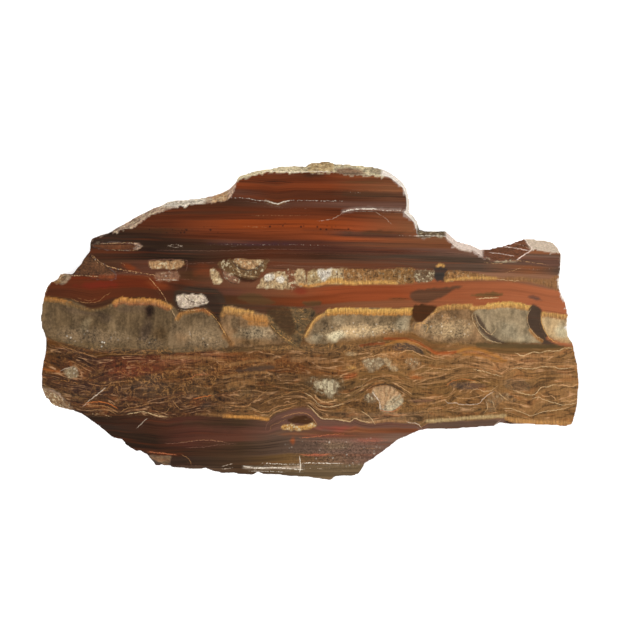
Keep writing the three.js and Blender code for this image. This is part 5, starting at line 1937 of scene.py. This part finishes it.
    def specks(self) -> None:
        """Draws painted glints, bright points of many sizes where light catches crystal faces, and small
        black specks.
        """
        graph = self.graph
        points = graph.cells(self.place(Figure.POINTS))
        distance = points.outputs["Distance"]
        bright_draw, black_draw, size_draw = graph.split(points.outputs["Color"])
        size = graph.math("MULTIPLY_ADD", size_draw, 0.3, 0.12)
        spot = graph.span(distance, size, graph.math("MULTIPLY", size, 0.4))
        spot = graph.math("MULTIPLY", spot, graph.span(bright_draw, 0.48, 0.52))
        # painted glints: white points drawn into the colour where light catches crystal faces.
        self.tinge("sparkle", spot, 0.9, Tint.SNOW)
        speck = graph.math("MULTIPLY", graph.span(distance, 0.4, 0.24), graph.span(black_draw, 0.62, 0.66))
        self.tinge("pepper", speck, 0.85, Tint.INK)

    def expose(self, gain: float, rim_gain: float) -> None:
        """Lights the colour by the pattern's brightness and the gain of polished or broken rock."""
        graph = self.graph
        lift = graph.span(graph.attribute("rough"), 0.6, 0.85, gain, rim_gain)
        bright = graph.math("MAXIMUM", graph.math("ADD", self.bright, 1.0), self.darkest)
        self.colour = graph.scale(self.colour, graph.math("MULTIPLY", bright, lift))

    def veins(self, sheets: list[VeinSheet]) -> None:
        """Draws the hair-thin veins over the colour."""
        graph = self.graph
        sway = graph.span(self.draw(Figure.WOBBLE), 0.25, 0.75, -0.16, 0.16)
        dots = self.draw(Figure.DOTS)
        for sheet in sheets:
            distance, share, broken = graph.split(graph.attribute(sheet.name, "Vector"))
            half = graph.attribute(f"{sheet.name}_ink", "Alpha")
            gap = graph.math("ABSOLUTE", graph.math("ADD", distance, sway))
            inner = graph.math("MULTIPLY", half, 0.3)
            outer = graph.math("MULTIPLY_ADD", half, 0.85, 0.08)
            low = graph.math("MULTIPLY_ADD", broken, 0.34, 0.24)
            high = graph.math("MULTIPLY_ADD", broken, 0.34, 0.38)
            drawn = graph.math("MULTIPLY", graph.span(gap, outer, inner), share)
            mask = graph.math("MULTIPLY", drawn, graph.span(dots, low, high))
            self.colour = graph.mix(mask, self.colour, graph.attribute(f"{sheet.name}_ink", "Color"))


@dataclass(frozen=True)
class StoneFinish:
    """The polished face, the broken rim and the sawn back of the stone.

    Args:
        gain: makes up for the light's strength, so that a tint looks as it is named.
        rim_gain: the same on broken rock, which gets less of the light.
        rim_rough: roughness of broken rock.
        ior: the stone's index of refraction.
        mirror: how strongly the polish mirrors, as a shader level.
        crumb: height of the crumbs on broken rock, in metres.
        crumb_strength: how strongly the light shows them.
    """

    gain: float = 0.66
    rim_gain: float = 0.8
    rim_rough: float = 0.85
    ior: float = 1.5
    mirror: float = 0.3
    crumb: float = 0.5 * MM
    crumb_strength: float = 0.9

    def make(self, sheets: list[VeinSheet]) -> bpy.types.Material:
        """Builds the whole finish.

        Args:
            sheets: the veins' attributes.

        Returns:
            The material.
        """
        graph = Graph(SLOT)
        shader = graph.add("ShaderNodeBsdfPrincipled")
        output = graph.add("ShaderNodeOutputMaterial")
        graph.feed(output.inputs["Surface"], shader.outputs["BSDF"])
        painter = GrainPainter(graph)
        painter.streaks()
        painter.laminae()
        painter.curls()
        painter.grains()
        painter.milk()
        painter.crust()
        painter.specks()
        painter.expose(self.gain, self.rim_gain)
        painter.veins(sheets)
        graph.feed(shader.inputs["Base Color"], painter.colour)
        rim, rough = graph.attribute("rim"), graph.attribute("rough")
        dulled = graph.math("MULTIPLY_ADD", rim, self.rim_rough, rough, clamp=True)
        graph.feed(shader.inputs["Roughness"], dulled)
        bump = graph.add("ShaderNodeBump")
        graph.feed(bump.inputs["Distance"], self.crumb)
        graph.feed(bump.inputs["Height"], painter.draw(Figure.CRUMBS))
        graph.feed(bump.inputs["Strength"], graph.span(rough, 0.35, 0.8, 0.0, self.crumb_strength))
        graph.feed(shader.inputs["Normal"], bump.outputs["Normal"])
        graph.feed(shader.inputs["IOR"], self.ior)
        graph.feed(shader.inputs["Specular IOR Level"], self.mirror)
        return graph.material


@dataclass
class Studio:
    """The floor, the lamps and the camera.

    Args:
        floor_side: side of the floor, in metres.
        floor_white: how much light the floor sends back.
        floor_glow: how much light it gives of its own, which takes the shadows off it.
        lens: the camera's lens, in millimetres.
        sensor: the width of its sensor, in millimetres.
        lamp_power: the power of one lamp, in watts.
        lamp_elevation: how high the lamps hang, in degrees above the floor.
        lamp_distance: how far they hang from the slab, in metres.
        lamp_side: the side of their squares, in metres.
        ambient: the dim light from all round.
    """

    floor_side: float = 6.0
    floor_white: float = 0.9
    floor_glow: float = 0.35
    lens: float = 240.0
    sensor: float = 36.0
    lamp_power: float = 14.0
    lamp_elevation: float = 48.0
    lamp_distance: float = 1.6
    lamp_side: float = 1.4
    ambient: float = 0.12

    def floor(self) -> None:
        """Lays the plain pale floor under the slab."""
        deselect_all()
        bpy.ops.mesh.primitive_plane_add(size=self.floor_side, location=(0, 0, 0))
        floor = bpy.context.view_layer.objects.active
        floor.name = "floor"
        graph = Graph("pale_floor")
        shader = graph.add("ShaderNodeBsdfPrincipled")
        output = graph.add("ShaderNodeOutputMaterial")
        graph.feed(output.inputs["Surface"], shader.outputs["BSDF"])
        shader.inputs["Base Color"].default_value = (self.floor_white,) * 3 + (1.0,)
        shader.inputs["Roughness"].default_value = 1.0
        shader.inputs["Specular IOR Level"].default_value = 0.0
        shader.inputs["Emission Color"].default_value = (1.0, 1.0, 1.0, 1.0)
        shader.inputs["Emission Strength"].default_value = self.floor_glow
        floor.data.materials.append(graph.material)

    def lamp(self, name: str, azimuth: float, share: float) -> None:
        """Hangs one soft lamp that points at the slab.

        Args:
            name: its name.
            azimuth: the side that it stands on, in degrees from -Y, anticlockwise from above.
            share: its power, as a share of a lamp's usual power.
        """
        light = bpy.data.lights.new(name, "AREA")
        light.shape = "SQUARE"
        light.size = self.lamp_side
        light.energy = self.lamp_power * share
        lamp = bpy.data.objects.new(name, light)
        bpy.context.scene.collection.objects.link(lamp)
        a, e = math.radians(azimuth), math.radians(self.lamp_elevation)
        away = Vector((math.sin(a) * math.cos(e), -math.cos(a) * math.cos(e), math.sin(e)))
        lamp.location = away * self.lamp_distance
        lamp.rotation_euler = away.to_track_quat("Z", "Y").to_euler()

    def lamps(self) -> None:
        """Hangs four soft lamps round the slab, none of them where the polish would mirror it."""
        places = (("left", 318, 1.1), ("right", 42, 1.1), ("back_left", 222, 0.9), ("back_right", 138, 0.9))
        for name, azimuth, share in places:
            self.lamp(f"lamp_{name}", azimuth, share)

    def world(self) -> None:
        """Fills the surroundings with a dim, even light."""
        world = bpy.data.worlds.new("studio")
        world.use_nodes = True
        background = world.node_tree.nodes["Background"]
        background.inputs["Color"].default_value = (1.0, 1.0, 1.0, 1.0)
        background.inputs["Strength"].default_value = self.ambient
        bpy.context.scene.world = world

    def camera(self) -> None:
        """Hangs the camera straight above the slab, where the photograph was taken from."""
        data = bpy.data.cameras.new("camera")
        data.lens = self.lens
        data.sensor_width = self.sensor
        camera = bpy.data.objects.new("camera", data)
        bpy.context.scene.collection.objects.link(camera)
        _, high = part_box(NODE)
        width = PHOTO.side * PHOTO.scale()
        x, y = PHOTO.place(PHOTO.middle, PHOTO.middle)
        camera.location = (x, y, high.z + width * self.lens / self.sensor)
        data.clip_end = 10.0
        bpy.context.scene.camera = camera

    def build(self) -> None:
        """Sets the whole studio up."""
        self.floor()
        self.lamps()
        self.world()
        self.camera()
        bpy.context.scene.view_settings.view_transform = "Standard"


def main() -> None:
    """Builds the slab and its studio, and notes the model's size."""
    logging.basicConfig(level=logging.INFO, format="%(message)s")
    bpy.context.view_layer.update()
    skin = SlabSkin()
    piece = skin.build()
    piece.data.materials.clear()
    piece.data.materials.append(StoneFinish().make(skin.sheets))
    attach(piece, BODY)
    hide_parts(NODE)
    triangles = sum(len(face.vertices) - 2 for face in piece.data.polygons)
    log.info("%s: %d triangles, %d sheets of veins", piece.name, triangles, len(skin.sheets))
    Studio().build()


if __name__ == "__main__":
    main()
